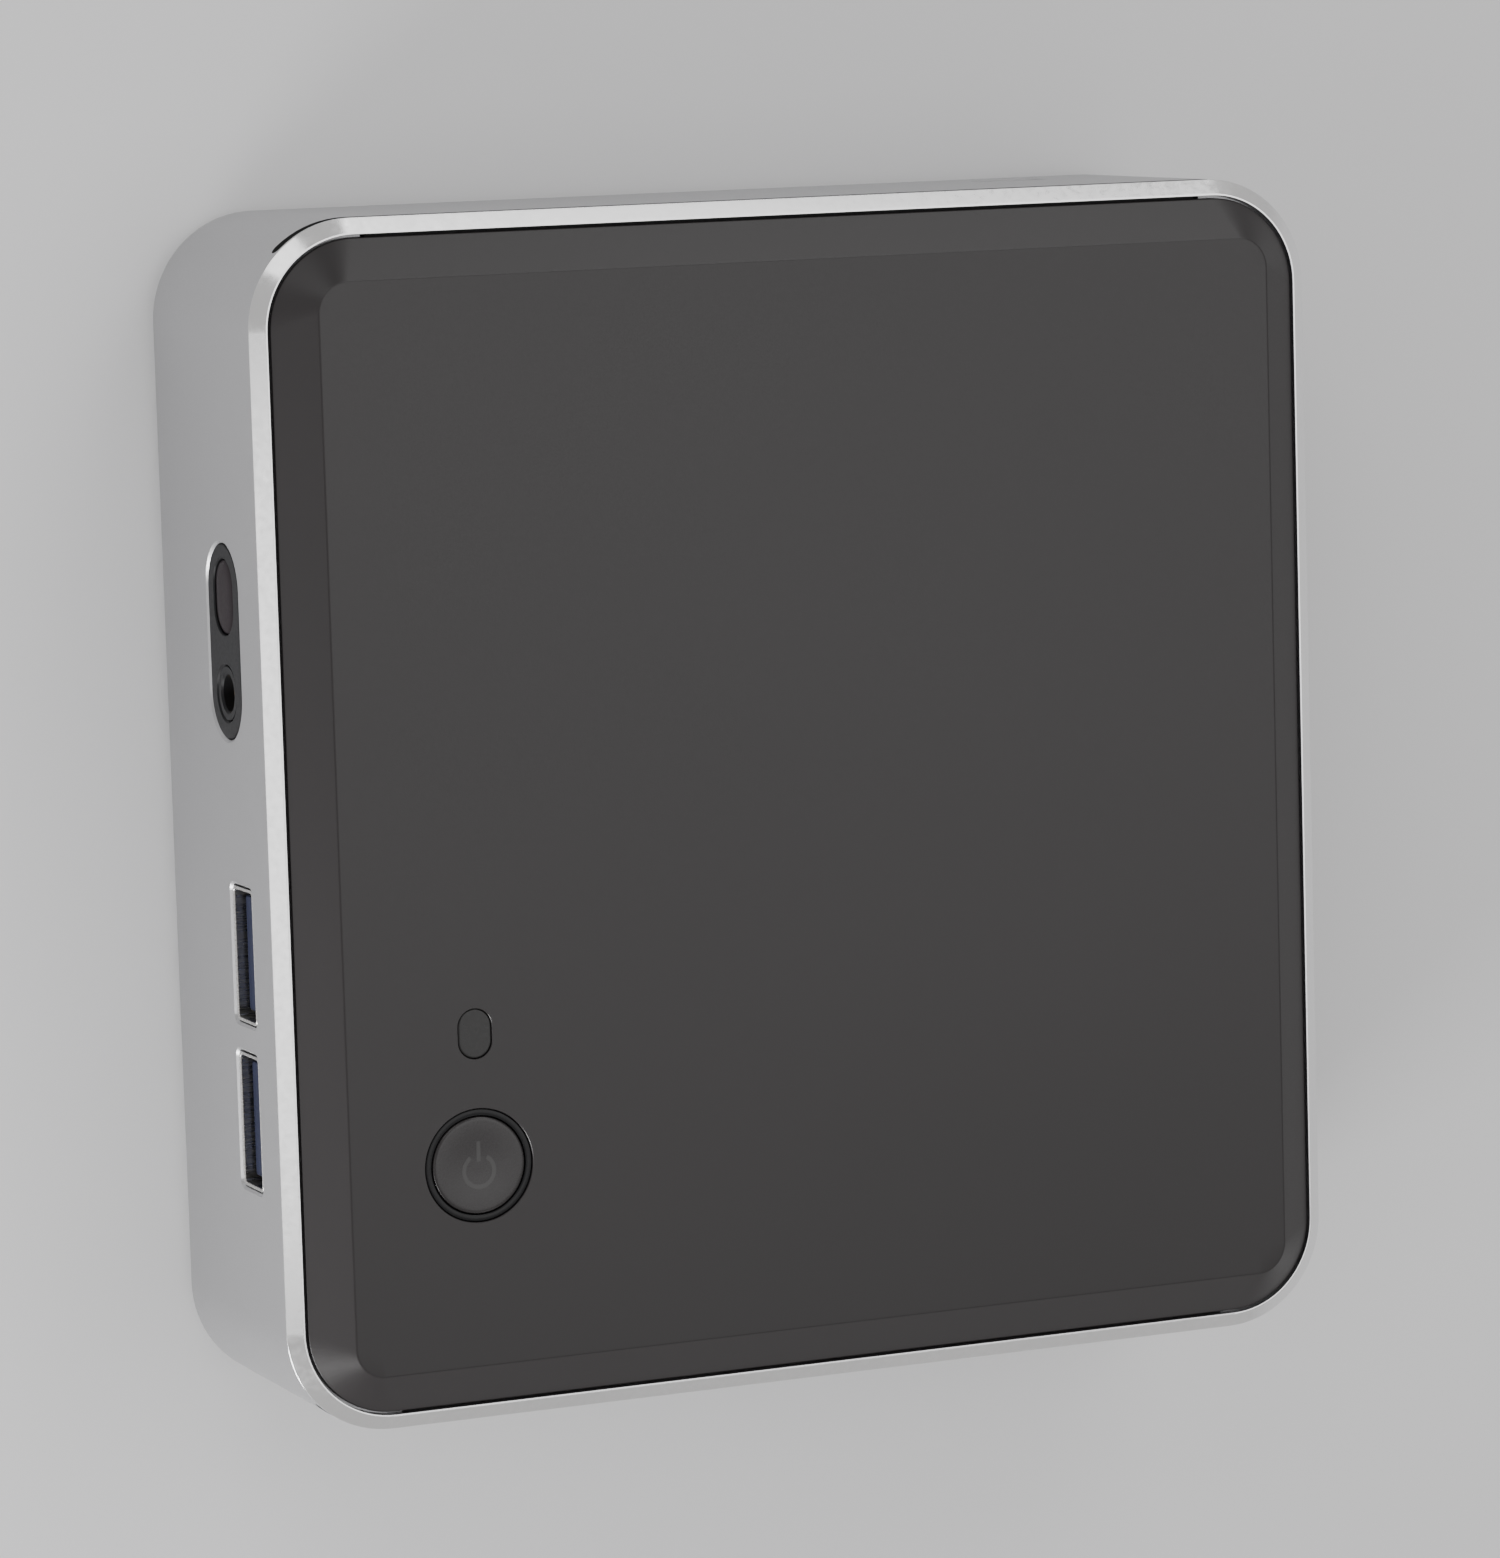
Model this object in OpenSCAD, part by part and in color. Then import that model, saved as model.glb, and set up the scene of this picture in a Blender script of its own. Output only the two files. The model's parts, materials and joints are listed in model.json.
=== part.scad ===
// Mini PC: a flat square desktop computer with a silver aluminium case, a dark bevelled top
// cover and a round power button in its front right corner. All sizes are in millimetres.
// +Z is up, the front is -Y, and the origin is on the desk under the middle of the case.

/* [Case] */
// Width of the case, side to side
body_w = 116.6; // [116:0.2:120]
// Depth of the case, front to back
body_d = 112; // [112:0.2:116]
// Height from the desk to the flat of the top cover
body_h = 34.5; // [34.5:0.5:38]
// Radius of the four upright corners
corner_r = 10.5; // [9.5:0.5:12]
// Thickness of the aluminium wall
wall = 1.6; // [1.5:0.1:1.8]
// Width of the polished chamfer round the top of the case
rim_w = 1.4; // [1:0.1:1.4]

/* [Top cover] */
// Width of the sloped border of the top cover
bevel_w = 4; // [3:0.5:5]
// Height that the sloped border climbs
bevel_h = 2.5; // [2:0.1:2.6]
// Corner radius of the flat inside the sloped border
flat_r = 3; // [2.5:0.1:4]
// Radius of the hole that the power button and its light ring sit in
button_hole_r = 5.6; // [5.4:0.1:6]
// How far the power button travels when it is pressed
button_travel = 0.5; // [0.3:0.1:0.6]

/* [Fan] */
// Outer radius of the impeller blades
impeller_r = 21.5; // [18:0.5:21.5]
// Number of impeller blades
blade_count = 29; // [19:2:37]

/* [Mounting] */
// Distance between the two threaded inserts in the bottom cover
insert_spacing = 80; // [70:1:84]

/* [Hidden] */
$fn = 64;
fine = 0.1;           // clearance between neighbours that must not touch

// Levels, upwards from the desk
cover_z = 1.5;        // underside of the bottom cover
case_z = 2;           // lower edge of the case
cover_top = 3.5;      // inside face of the bottom cover
board_z = 18;         // underside of the mainboard
board_t = 1.6;
board_top = board_z + board_t;
rim_z = body_h - bevel_h;          // upper edge of the case
rim_h = 1;                         // height of the polished chamfer
ledge_z = rim_z - 1.1;             // shelf that the top cover rests on
lid_t = 1.8;                       // thickness of the top cover
lid_inner = body_h - lid_t;

// Plan sizes
lid_w = body_w - 2 * wall - 0.5;
lid_d = body_d - 2 * wall - 0.5;
lid_r = corner_r - wall - 0.25;
front_y = -body_d / 2;
rear_y = body_d / 2;
board_size = 101.6;
post_x = 45.8;
post_y = 43.5;

// Power button and drive light, on the top cover
button_x = 32.8;
button_y = -37;
cap_r = button_hole_r - 0.85;
drive_led_x = 20;

// Front sockets, above the board
pill_x = -17.9;
pill_z = 20.4;
pill_w = 19;
pill_h = 9;
jack_x = -12.9;
jack_r = 1.8;
jack_depth = 13;
window_x = -22.2;
front_usb_x = [12.3, 28.5];
usb_z = board_top + 3;

// Rear sockets, hanging below the board
dc_x = 36;
hdmi_x = 23;
lan_x = 6.4;
rear_usb_x = [-11.4, -27];
dp_x = -39;
dc_z = 12.6;
panel_w = 92;
panel_low = 4.2;
panel_high = 28.5;
panel_face = rear_y - 0.3;         // outer face of the rear panel
socket_y = panel_face - 0.1;       // mouths of the rear sockets

// Width and height inside each socket's metal shell, and how deep the socket is
shell_t = 0.35;
usb_mouth = [12.5, 5.1];
usb_depth = 15.2;
hdmi_mouth = [14, 4.6];
hdmi_depth = 11;
dp_mouth = [7.5, 4.6];
dp_depth = 9;
lan_body = [16, 13.3];
lan_depth = 21.4;
dc_depth = 14.4;
rear_usb_z = board_z - usb_mouth[1] / 2 - shell_t;
hdmi_z = board_z - hdmi_mouth[1] / 2 - shell_t;
dp_z = board_z - dp_mouth[1] / 2 - shell_t;

// Blower and fins, above the board
fan_x = -15;
fan_y = 6;
fan_low = 22;
fan_high = 30.2;
blower_r = 25;
fin_x = -37;
fin_count = 33;
fin_pitch = 1.6;
fin_y = 38.4;
fin_depth = 13.2;
pipe_y = 44.8;
pipe_z = 22.4;
pipe_h = 2.4;
cpu_x = 29;
cpu_y = 6;
die_top = board_top + 1.3;
cooler_screw = [15.6, 12];         // from the processor's middle
blower_ears = [[-34.4, -13.4], [4.4, -13.4], [-42.2, 30]];

// Memory, storage and radio, below the board
memory_x = 0;
memory_y = -48;
module_w = 67.6;
module_d = 30;
module_z = [board_z - 4.2, board_z - 9.2];
latch_x = module_w / 2 + 1.9;      // upright pivot of each side latch
latch_y = -40;
latch_pin_r = 0.8;
notch_y = 18;                      // side notch, from the module's front edge
card_socket_x = 41;
ssd_y = 21.6;
wifi_y = -2;
card_w = 22;
coin_x = -21;
coin_y = -2.2;

// ---------------------------------------------------------------- shared shapes

// A rectangle with round corners, centred
module rounded_rect(w, d, r) {
    square([w - 2 * r, d], center = true);
    square([w, d - 2 * r], center = true);
    for (x = [-1, 1], y = [-1, 1])
        translate([x * (w / 2 - r), y * (d / 2 - r)]) circle(r);
}

// A bar with half-round ends, along X
module pill(length, width) {
    square([length - width, width], center = true);
    for (x = [-1, 1]) translate([x * (length - width) / 2, 0]) circle(width / 2);
}

// A box given by its low corner and its size
module block(x, y, z, size) {
    translate([x, y, z]) cube(size);
}

// An upright cylinder
module post(x, y, z, r, h) {
    translate([x, y, z]) cylinder(r = r, h = h);
}

// A horizontal cylinder that runs towards +Y
module post_y(x, y, z, r, length) {
    translate([x, y, z]) rotate([-90, 0, 0]) cylinder(r = r, h = length);
}

// A flat outline standing in the XZ plane, with its thickness towards +Y
module standing(x, y, z, thickness) {
    translate([x, y + thickness, z]) rotate([90, 0, 0]) linear_extrude(thickness) children();
}

// Carries a wall's profile round a rounded rectangle; the profile's x is 0 on the outer wall
module wall_ring(w, d, r) {
    for (c = [[1, 1, 0], [-1, 1, 90], [-1, -1, 180], [1, -1, 270]])
        translate([c[0] * (w / 2 - r), c[1] * (d / 2 - r), 0]) rotate(c[2])
            rotate_extrude(angle = 90) translate([r, 0]) children();
    for (turn = [0, 180]) rotate(turn) translate([w / 2, 0, 0]) rotate([90, 0, 0])
        linear_extrude(d - 2 * r, center = true) children();
    for (turn = [90, 270]) rotate(turn) translate([d / 2, 0, 0]) rotate([90, 0, 0])
        linear_extrude(w - 2 * r, center = true) children();
}

// A rounded plate whose edge slopes from one outline to a smaller one, with tighter corners
module sloped_plate(w, d, r, z, inset, h, top_r) {
    hull() {
        translate([0, 0, z]) linear_extrude(0.01) rounded_rect(w, d, r, $fn = 48);
        translate([0, 0, z + h - 0.01]) linear_extrude(0.01)
            rounded_rect(w - 2 * inset, d - 2 * inset, top_r, $fn = 48);
    }
}

// Points of a smooth curve through a short list of points
function curve(p, steps = 5) = [
    for (i = [0 : len(p) - 2], s = [0 : steps - 1])
        let (a = p[max(i - 1, 0)], b = p[i], c = p[i + 1], d = p[min(i + 2, len(p) - 1)], t = s / steps)
            b + (c - a) * t / 2 + (2 * a - 5 * b + 4 * c - d) * t * t / 2
            + (3 * b - a - 3 * c + d) * t * t * t / 2,
    p[len(p) - 1]];

function unit(v) = v / norm(v);

// A round cable along a smooth curve; side is a direction that the cable never runs in
module cable(points, r, side, sides = 8) {
    path = curve(points);
    last = len(path) - 1;
    rings = [for (i = [0 : last])
        let (along = unit(path[min(i + 1, last)] - path[max(i - 1, 0)]),
             u = unit(cross(along, side)), v = cross(along, u))
            for (k = [0 : sides - 1]) path[i] + r * (cos(360 * k / sides) * u + sin(360 * k / sides) * v)];
    faces = concat(
        [[for (k = [0 : sides - 1]) k]],
        [for (i = [0 : last - 1], k = [0 : sides - 1])
            let (j = (k + 1) % sides)
                [i * sides + k, (i + 1) * sides + k, (i + 1) * sides + j, i * sides + j]],
        [[for (k = [sides - 1 : -1 : 0]) last * sides + k]]);
    polyhedron(rings, faces, convexity = 6);
}

// Outline of a socket's mouth, with cut corners along one long side
module mouth_outline(mouth, cut, grow = 0) {
    w = mouth[0] / 2 + grow;
    h = mouth[1] / 2 + grow;
    polygon([[-w, h], [w, h], [w, -h + cut], [w - cut, -h], [cut - w, -h], [-w, -h + cut]]);
}

// A socket's sheet metal shell, open towards -Y and closed at the back
module socket_shell(x, z, y, depth, mouth, cut = 0) {
    difference() {
        standing(x, y, z, depth) mouth_outline(mouth, cut, shell_t);
        standing(x, y - 1, z, depth + 1 - shell_t) mouth_outline(mouth, cut);
    }
}

// Places a socket that faces the front so that it faces the rear
module facing_rear() {
    translate([0, socket_y, 0]) mirror([0, 1, 0]) children();
}

// The plastic inside a USB socket: a block at the back and the bar that carries the contacts
module usb_insulator(x, z, y) {
    back = 3;
    inner_depth = usb_depth - shell_t;
    block(x - usb_mouth[0] / 2, y + inner_depth - back, z - usb_mouth[1] / 2,
        [usb_mouth[0], back, usb_mouth[1]]);
    block(x - 5.6, y + 1, z - 2, [11.2, inner_depth - 1.5, 1.8]);
}

// ---------------------------------------------------------------- case

module chassis_profile() {
    shelf = 1.4;
    foot = 0.7;
    polygon([[-foot, case_z], [0, case_z + foot], [0, rim_z - rim_h], [-rim_w, rim_z], [-wall, rim_z],
             [-wall, ledge_z], [-wall - shelf, ledge_z], [-wall - shelf, ledge_z - 0.8],
             [-wall, ledge_z - 0.8 - shelf], [-wall, case_z]]);
}

// Straight run of each side vent, and the slot's lower and upper edge
vent_run = body_d - 2 * corner_r - 2;
vent_low = rim_z - 2.8;
vent_high = rim_z - 1.3;

// Side vent slot: straight along the side, then round half of each corner
module vent_slot(side) {
    h = vent_high - vent_low;
    mirror([side < 0 ? 1 : 0, 0, 0]) {
        block(body_w / 2 - wall - 0.2, -body_d / 2 + corner_r, vent_low,
            [wall + 1, body_d - 2 * corner_r, h]);
        for (end = [0, 1]) mirror([0, end, 0])
            translate([body_w / 2 - corner_r, body_d / 2 - corner_r, vent_low])
                rotate_extrude(angle = 45) translate([corner_r - 0.9, 0]) square([2, h]);
    }
}

module corner_post(x, y) {
    web = 2;
    corner = [sign(x) * (body_w / 2 - corner_r), sign(y) * (body_d / 2 - corner_r)];
    reach = norm(corner - [x, y]) + corner_r - wall / 2;
    post(x, y, cover_top + fine, 3.4, board_z - cover_top - fine);
    translate([x, y, cover_top + fine]) rotate(atan2(corner[1] - y, corner[0] - x))
        translate([2, -web / 2, 0]) cube([reach - 2, web, 10]);
}

module chassis() {
    color([0.66, 0.66, 0.68]) difference() {
        union() {
            wall_ring(body_w, body_d, corner_r) chassis_profile();
            for (x = [-post_x, post_x], y = [-post_y, post_y]) corner_post(x, y);
        }
        for (side = [-1, 1]) {
            vent_slot(side);
            // the shelf stops at the vent, so that air can pass
            block(side * (body_w / 2 - wall - 1.5) - 1.5, -vent_run / 2, vent_low - 1.2,
                [3, vent_run, 3.2]);
        }
        standing(pill_x, front_y - 1, pill_z, wall + 2) pill(pill_w, pill_h);
        for (x = front_usb_x)
            standing(x, front_y - 1, usb_z, wall + 2) square(usb_mouth + [1, 1], center = true);
        block(-panel_w / 2, rear_y - wall - 1, panel_low, [panel_w, wall + 2, panel_high - panel_low]);
        block(-body_w / 2 - 1, 30, 9, [wall + 2, 7, 3]);
        for (x = [-post_x, post_x], y = [-post_y, post_y]) {
            post(x, y, cover_top, 1.3, 8);
            post(x, y, board_z - 4, 1.1, 5);
        }
    }
}

module lock_plate() {
    // steel plate behind the security slot
    x = -body_w / 2 + wall;
    color([0.75, 0.75, 0.76]) difference() {
        block(x, 26, 5.5, [1, 15, 10]);
        block(x - 1, 30, 9, [3, 7, 3]);
    }
}

module side_vent_mesh() {
    // black slotted strip behind each side vent
    slot = 1;
    pitch = 2;
    count = floor((vent_run - 6) / pitch);
    x = body_w / 2 - wall - 0.45;
    color([0.05, 0.05, 0.05]) for (side = [-1, 1]) mirror([side < 0 ? 1 : 0, 0, 0])
        translate([x, 0, 0]) rotate([90, 0, 90]) linear_extrude(0.4) difference() {
            translate([-(vent_run - 1) / 2, vent_low - 1]) square([vent_run - 1, 2.6]);
            for (i = [0 : count - 1])
                translate([(i - (count - 1) / 2) * pitch - slot / 2, vent_low]) square([slot, 1.2]);
        }
}

// ---------------------------------------------------------------- top cover

// Hook that catches under the case's shelf
module lid_clip(skirt) {
    w = 5;
    inner = lid_d / 2 - skirt;
    block(-w / 2, inner, ledge_z - 2.9, [w, 0.9, 3]);
    block(-w / 2, inner, ledge_z - 2.9, [w, 1.7, 0.6]);
}

module top_cover() {
    flat_z = rim_z - 0.1;
    skirt = 2.2;
    color([0.07, 0.07, 0.07]) difference() {
        union() {
            sloped_plate(lid_w, lid_d, lid_r, flat_z, bevel_w, body_h - flat_z, flat_r);
            translate([0, 0, ledge_z]) linear_extrude(flat_z - ledge_z) rounded_rect(lid_w, lid_d, lid_r);
            for (end = [0, 1], x = [-38, 0, 38]) mirror([0, end, 0]) translate([x, 0, 0]) lid_clip(skirt);
        }
        translate([0, 0, ledge_z - 4]) linear_extrude(flat_z - ledge_z + 4)
            rounded_rect(lid_w - 2 * skirt, lid_d - 2 * skirt, lid_r - skirt);
        sloped_plate(lid_w - 2 * skirt, lid_d - 2 * skirt, lid_r - skirt, flat_z - 0.01, bevel_w - 1,
            lid_inner - flat_z + 0.01, flat_r);
        post(button_x, button_y, lid_inner - 1, button_hole_r, 4);
        translate([drive_led_x, button_y, lid_inner - 1]) linear_extrude(4) pill(5, 3.6);
    }
}

module lid_shield() {
    // thin steel plate under the top cover
    color([0.7, 0.7, 0.7]) translate([0, 0, lid_inner - 0.3]) linear_extrude(0.3) difference() {
        rounded_rect(84, 92, 4);
        translate([button_x, button_y]) circle(button_hole_r + 1);
        translate([drive_led_x, button_y]) circle(3.4);
        for (x = [-1, 1], y = [-1, 1]) translate([x * 36, y * 20]) circle(1.6);
    }
}

module power_button() {
    color([0.08, 0.08, 0.08]) {
        post(button_x, button_y, lid_inner - 1.6, cap_r, body_h - 0.1 - lid_inner + 1.6);
        post(button_x, button_y, board_top + 5.1, 1.4, lid_inner - 1.6 - board_top - 5.1);
    }
}

module switch_plunger() {
    color([0.1, 0.1, 0.1]) post(button_x, button_y, board_top + 2.2, 1.6, 2.9);
}

module power_switch() {
    color([0.75, 0.75, 0.76]) difference() {
        block(button_x - 3.1, button_y - 3.1, board_top, [6.2, 6.2, 3.6]);
        post(button_x, button_y, board_top + 2.2 - button_travel - 0.3, 1.65, 4);
    }
}

module power_light_ring() {
    // clear ring round the button, with a leg that takes its light from the board
    inner = cap_r + 0.15;
    outer = button_hole_r - 0.1;
    color([0.2, 0.2, 0.22]) {
        difference() {
            post(button_x, button_y, lid_inner - 1.5, outer, body_h - 0.15 - lid_inner + 1.5);
            post(button_x, button_y, lid_inner - 3, inner, 8);
        }
        block(button_x - 0.8, button_y + inner, board_top + 0.8,
            [1.6, 0.5, lid_inner - 1 - board_top - 0.8]);
    }
}

module drive_light_pipe() {
    color([0.2, 0.2, 0.22]) {
        translate([drive_led_x, button_y, lid_inner - 0.6])
            linear_extrude(body_h - 0.1 - lid_inner + 0.6) pill(4.8, 3.4);
        post(drive_led_x, button_y, board_top + 0.8, 1.1, lid_inner - 0.6 - board_top - 0.8);
    }
}

// ---------------------------------------------------------------- bottom cover

module bottom_cover() {
    gap = 0.2;
    w = body_w - 2 * (wall + gap);
    d = body_d - 2 * (wall + gap);
    color([0.06, 0.06, 0.065]) difference() {
        translate([0, 0, cover_z]) linear_extrude(cover_top - cover_z)
            rounded_rect(w, d, corner_r - wall - gap);
        // shallow stamped panel in the middle
        translate([0, 0, cover_z - 1]) linear_extrude(1.4) rounded_rect(w - 34, d - 8, 5);
        for (x = [-post_x, post_x], y = [-post_y, post_y]) {
            post(x, y, cover_z - 1, 6, 2);
            post(x, y, cover_z - 1, 1.7, 5);
        }
        for (x = [-1, 1]) post(x * insert_spacing / 2, 0, cover_z - 1, 2.4, 5);
        // intake slots
        for (row = [-1, 1], i = [-7 : 7])
            translate([i * 4, row * 18, cover_z - 1]) linear_extrude(5) square([1.6, 18], center = true);
    }
}

module feet() {
    color([0.03, 0.03, 0.03]) for (x = [-post_x, post_x], y = [-post_y, post_y]) difference() {
        union() {
            post(x, y, 0.6, 5.9, cover_z + 0.4);
            translate([x, y, 0]) cylinder(r1 = 5.3, r2 = 5.9, h = 0.6);
        }
        post(x, y, -1, 3.2, 2.2);
        post(x, y, -1, 1.7, 5);
    }
}

module cover_screws() {
    head_z = 1.2;
    color([0.72, 0.72, 0.74]) for (x = [-post_x, post_x], y = [-post_y, post_y]) difference() {
        union() {
            post(x, y, head_z - 1, 2.9, 1);
            post(x, y, head_z, 1.2, 9.6);
        }
        for (turn = [0, 90]) translate([x, y, head_z - 1]) rotate(turn) cube([3.2, 0.7, 1.2], center = true);
    }
}

module mount_inserts() {
    // brass threaded inserts for the screws of a wall or monitor bracket
    color([0.75, 0.6, 0.25]) for (x = [-1, 1]) difference() {
        union() {
            post(x * insert_spacing / 2, 0, cover_z + 0.4, 2.3, 4.6);
            post(x * insert_spacing / 2, 0, cover_top, 3.4, 0.8);
        }
        post(x * insert_spacing / 2, 0, 0, 1.5, 8);
    }
}

// ---------------------------------------------------------------- rear panel

module rear_panel() {
    inner_y = rear_y - wall - 0.1;
    clear = 0.3;
    h = panel_high - panel_low;
    usb_hole = usb_mouth + 2 * (shell_t + clear) * [1, 1];
    color([0.05, 0.05, 0.055]) difference() {
        union() {
            block(-panel_w / 2 + fine, inner_y, panel_low + fine,
                [panel_w - 2 * fine, panel_face - inner_y, h - 2 * fine]);
            // a flange behind the case's wall at each end
            for (side = [-1, 1])
                block(side * panel_w / 2 - 2, inner_y - 0.8, panel_low + 1, [4, 0.81, h - 2]);
        }
        for (x = rear_usb_x) panel_hole(x, rear_usb_z) square(usb_hole, center = true);
        panel_hole(hdmi_x, hdmi_z) mouth_outline(hdmi_mouth, 2, shell_t + clear);
        panel_hole(dp_x, dp_z) mouth_outline(dp_mouth, 1.4, shell_t + clear);
        panel_hole(lan_x, board_z - lan_body[1] / 2) square(lan_body + [0.5, 0.5], center = true);
        panel_hole(dc_x, dc_z) circle(4.1);
        // exhaust slots in two rows
        for (row = [0, 1], i = [0 : 28])
            panel_hole(-36.4 + i * 2.6, 23 + row * 3.4) square([1.6, 2.7], center = true);
    }
}

module panel_hole(x, z) {
    standing(x, rear_y - 5, z, 6) children();
}

// ---------------------------------------------------------------- front sockets

module front_bezel() {
    // dark oblong insert that holds the infrared window and the headphone hole
    color([0.04, 0.04, 0.045]) difference() {
        union() {
            standing(pill_x, front_y + 0.1, pill_z, wall) pill(pill_w - 0.2, pill_h - 0.2);
            standing(pill_x, front_y + wall + 0.1, pill_z, 0.8) pill(pill_w + 2, pill_h + 1.6);
        }
        post_y(jack_x, front_y, pill_z, 2.7, 5);
        standing(window_x, front_y, pill_z, 5) pill(7.4, 5.4);
    }
}

module ir_window() {
    color([0.09, 0.03, 0.05]) standing(window_x, front_y + 0.15, pill_z, 1.8) pill(7.2, 5.2);
}

module ir_receiver() {
    y = front_y + wall + 2.2;
    color([0.06, 0.05, 0.06]) {
        block(window_x - 2.8, y, board_top, [5.6, 3, 2.6]);
        translate([window_x, y + 1.4, board_top + 2.6]) rotate([-90, 0, 0]) cylinder(r = 1, h = 1.4);
    }
}

module audio_jack() {
    y = front_y + wall + 1;
    mouth = front_y + 0.2;
    color([0.05, 0.05, 0.05]) difference() {
        union() {
            block(jack_x - 3.1, y, board_z + 0.15, [6.2, 12, 4.9]);
            // shoulders on the board, at both sides of its notch
            block(jack_x - 4.4, y + 4, board_top, [8.8, 7, 0.5]);
            post_y(jack_x, mouth, pill_z, 2.6, y - mouth + 0.1);
        }
        post_y(jack_x, mouth - 1, pill_z, jack_r, jack_depth + 1);
    }
}

module front_usb_shells() {
    y = front_y + 0.1;
    color([0.78, 0.78, 0.8]) for (x = front_usb_x) {
        socket_shell(x, usb_z, y, usb_depth, usb_mouth);
        // legs down to the board
        for (side = [-1, 1], leg = [6.4, 12])
            block(x + side * (usb_mouth[0] + shell_t) / 2 - shell_t / 2, y + leg, board_top,
                [shell_t, 1.6, usb_z - board_top]);
    }
}

module front_usb_tongues() {
    color([0.05, 0.15, 0.55]) for (x = front_usb_x) usb_insulator(x, usb_z, front_y + 0.1);
}

// ---------------------------------------------------------------- rear sockets

module dc_jack() {
    body_depth = dc_depth - 1.9;
    bottom = dc_z - 5;
    color([0.04, 0.04, 0.04]) difference() {
        union() {
            block(dc_x - 4.6, socket_y - dc_depth, bottom, [9.2, body_depth, board_z - bottom]);
            post_y(dc_x, socket_y - 2, dc_z, 3.9, 2);
        }
        post_y(dc_x, socket_y - dc_depth + 3, dc_z, 2.9, dc_depth);
    }
}

module dc_jack_pin() {
    color([0.8, 0.8, 0.8]) post_y(dc_x, socket_y - dc_depth + 3, dc_z, 1.2, dc_depth - 4);
}

module video_port_shells() {
    color([0.78, 0.78, 0.8]) facing_rear() {
        socket_shell(hdmi_x, hdmi_z, 0, hdmi_depth, hdmi_mouth, 2);
        socket_shell(dp_x, dp_z, 0, dp_depth, dp_mouth, 1.4);
    }
}

module video_port_tongues() {
    color([0.03, 0.03, 0.03]) facing_rear() {
        block(hdmi_x - 4.8, 1.2, hdmi_z - 0.1, [9.6, hdmi_depth - shell_t - 1.2, 1.2]);
        block(dp_x - 2.6, 1.2, dp_z - 0.5, [5.2, dp_depth - shell_t - 1.2, 1]);
    }
}

module lan_port() {
    z = board_z - lan_body[1];
    color([0.72, 0.72, 0.74]) difference() {
        block(lan_x - lan_body[0] / 2, socket_y - lan_depth, z, [lan_body[0], lan_depth, lan_body[1]]);
        block(lan_x - 5.9, socket_y - 13, z + 3.6, [11.8, 14, 7.6]);
        // notch for the plug's latch
        block(lan_x - 3.1, socket_y - 9, z + 1.4, [6.2, 10, 3]);
    }
}

module lan_contacts() {
    // eight sprung wires under the socket's ceiling
    z = board_z - lan_body[1] + 11.2;
    color([0.85, 0.7, 0.3]) for (i = [0 : 7])
        block(lan_x - 3.8 + i * 1.02, socket_y - 13, z - 1.1, [0.46, 9, 1]);
}

module rear_usb_shells() {
    color([0.78, 0.78, 0.8]) for (x = rear_usb_x)
        facing_rear() socket_shell(x, rear_usb_z, 0, usb_depth, usb_mouth);
}

module rear_usb_tongues() {
    color([0.05, 0.15, 0.55]) for (x = rear_usb_x)
        facing_rear() usb_insulator(x, rear_usb_z, 0);
}

// ---------------------------------------------------------------- mainboard

module mainboard() {
    color([0.03, 0.16, 0.08]) translate([0, 0, board_z]) linear_extrude(board_t) difference() {
        square(board_size, center = true);
        // notch in the front edge, where the headphone socket sits
        translate([jack_x, -board_size / 2]) square([6.6, 19.2], center = true);
        for (x = [-post_x, post_x], y = [-post_y, post_y]) translate([x, y]) circle(1.5);
        // finger cut-out on the left edge, where the antenna cables pass
        translate([-board_size / 2, 22]) square([6, 14], center = true);
    }
}

module board_screws() {
    color([0.78, 0.78, 0.8]) for (x = [-post_x, post_x], y = [-post_y, post_y]) difference() {
        union() {
            post(x, y, board_top, 2.6, 1.3);
            post(x, y, board_top - 4.6, 1, 4.7);
        }
        for (turn = [0, 90])
            translate([x, y, board_top + 1.2]) rotate(turn) cube([2.8, 0.6, 1], center = true);
    }
}

module board_chips() {
    // [x, y, width, depth, height] of each chip on the upper face
    chips = [[-36, -36, 7, 7, 0.9], [44, -34, 7, 7, 0.9], [-46, 10, 5, 6, 1], [-30, -41, 4, 4, 0.8],
             [-4, -38, 9, 9, 1], [44, 30, 6, 5, 1], [5, -30, 5, 4, 0.8], [-47, -20, 4, 5, 0.8]];
    color([0.04, 0.04, 0.045]) for (c = chips)
        block(c[0] - c[2] / 2, c[1] - c[3] / 2, board_top, [c[2], c[3], c[4]]);
}

module board_inductors() {
    color([0.3, 0.3, 0.31]) for (i = [0 : 4])
        block(14 + i * 7.2, -27.4, board_top, [6, 6, 2.6]);
}

module board_capacitors() {
    color([0.6, 0.6, 0.62]) {
        for (i = [0 : 5]) post(16 + i * 6, -17.6, board_top, 2, 2.4);
        for (i = [0 : 9]) block(-30 + i * 2.4, -30.6, board_top, [1, 2, 0.8]);
        for (i = [0 : 9]) block(46.6, -14 + i * 3.2, board_top, [2, 1.2, 0.8]);
    }
}

module processor() {
    substrate = 0.8;
    color([0.1, 0.22, 0.15]) block(cpu_x - 14, cpu_y - 10, board_top, [28, 20, substrate]);
    color([0.3, 0.3, 0.33])
        block(cpu_x - 9, cpu_y - 4.5, board_top + substrate, [18, 9, die_top - board_top - substrate]);
}

// ---------------------------------------------------------------- cooling

// Repeats something at each of the four screws round the processor
module at_cooler_screws() {
    for (x = [-1, 1], y = [-1, 1])
        translate([cpu_x + x * cooler_screw[0], cpu_y + y * cooler_screw[1], 0]) children();
}

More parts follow.
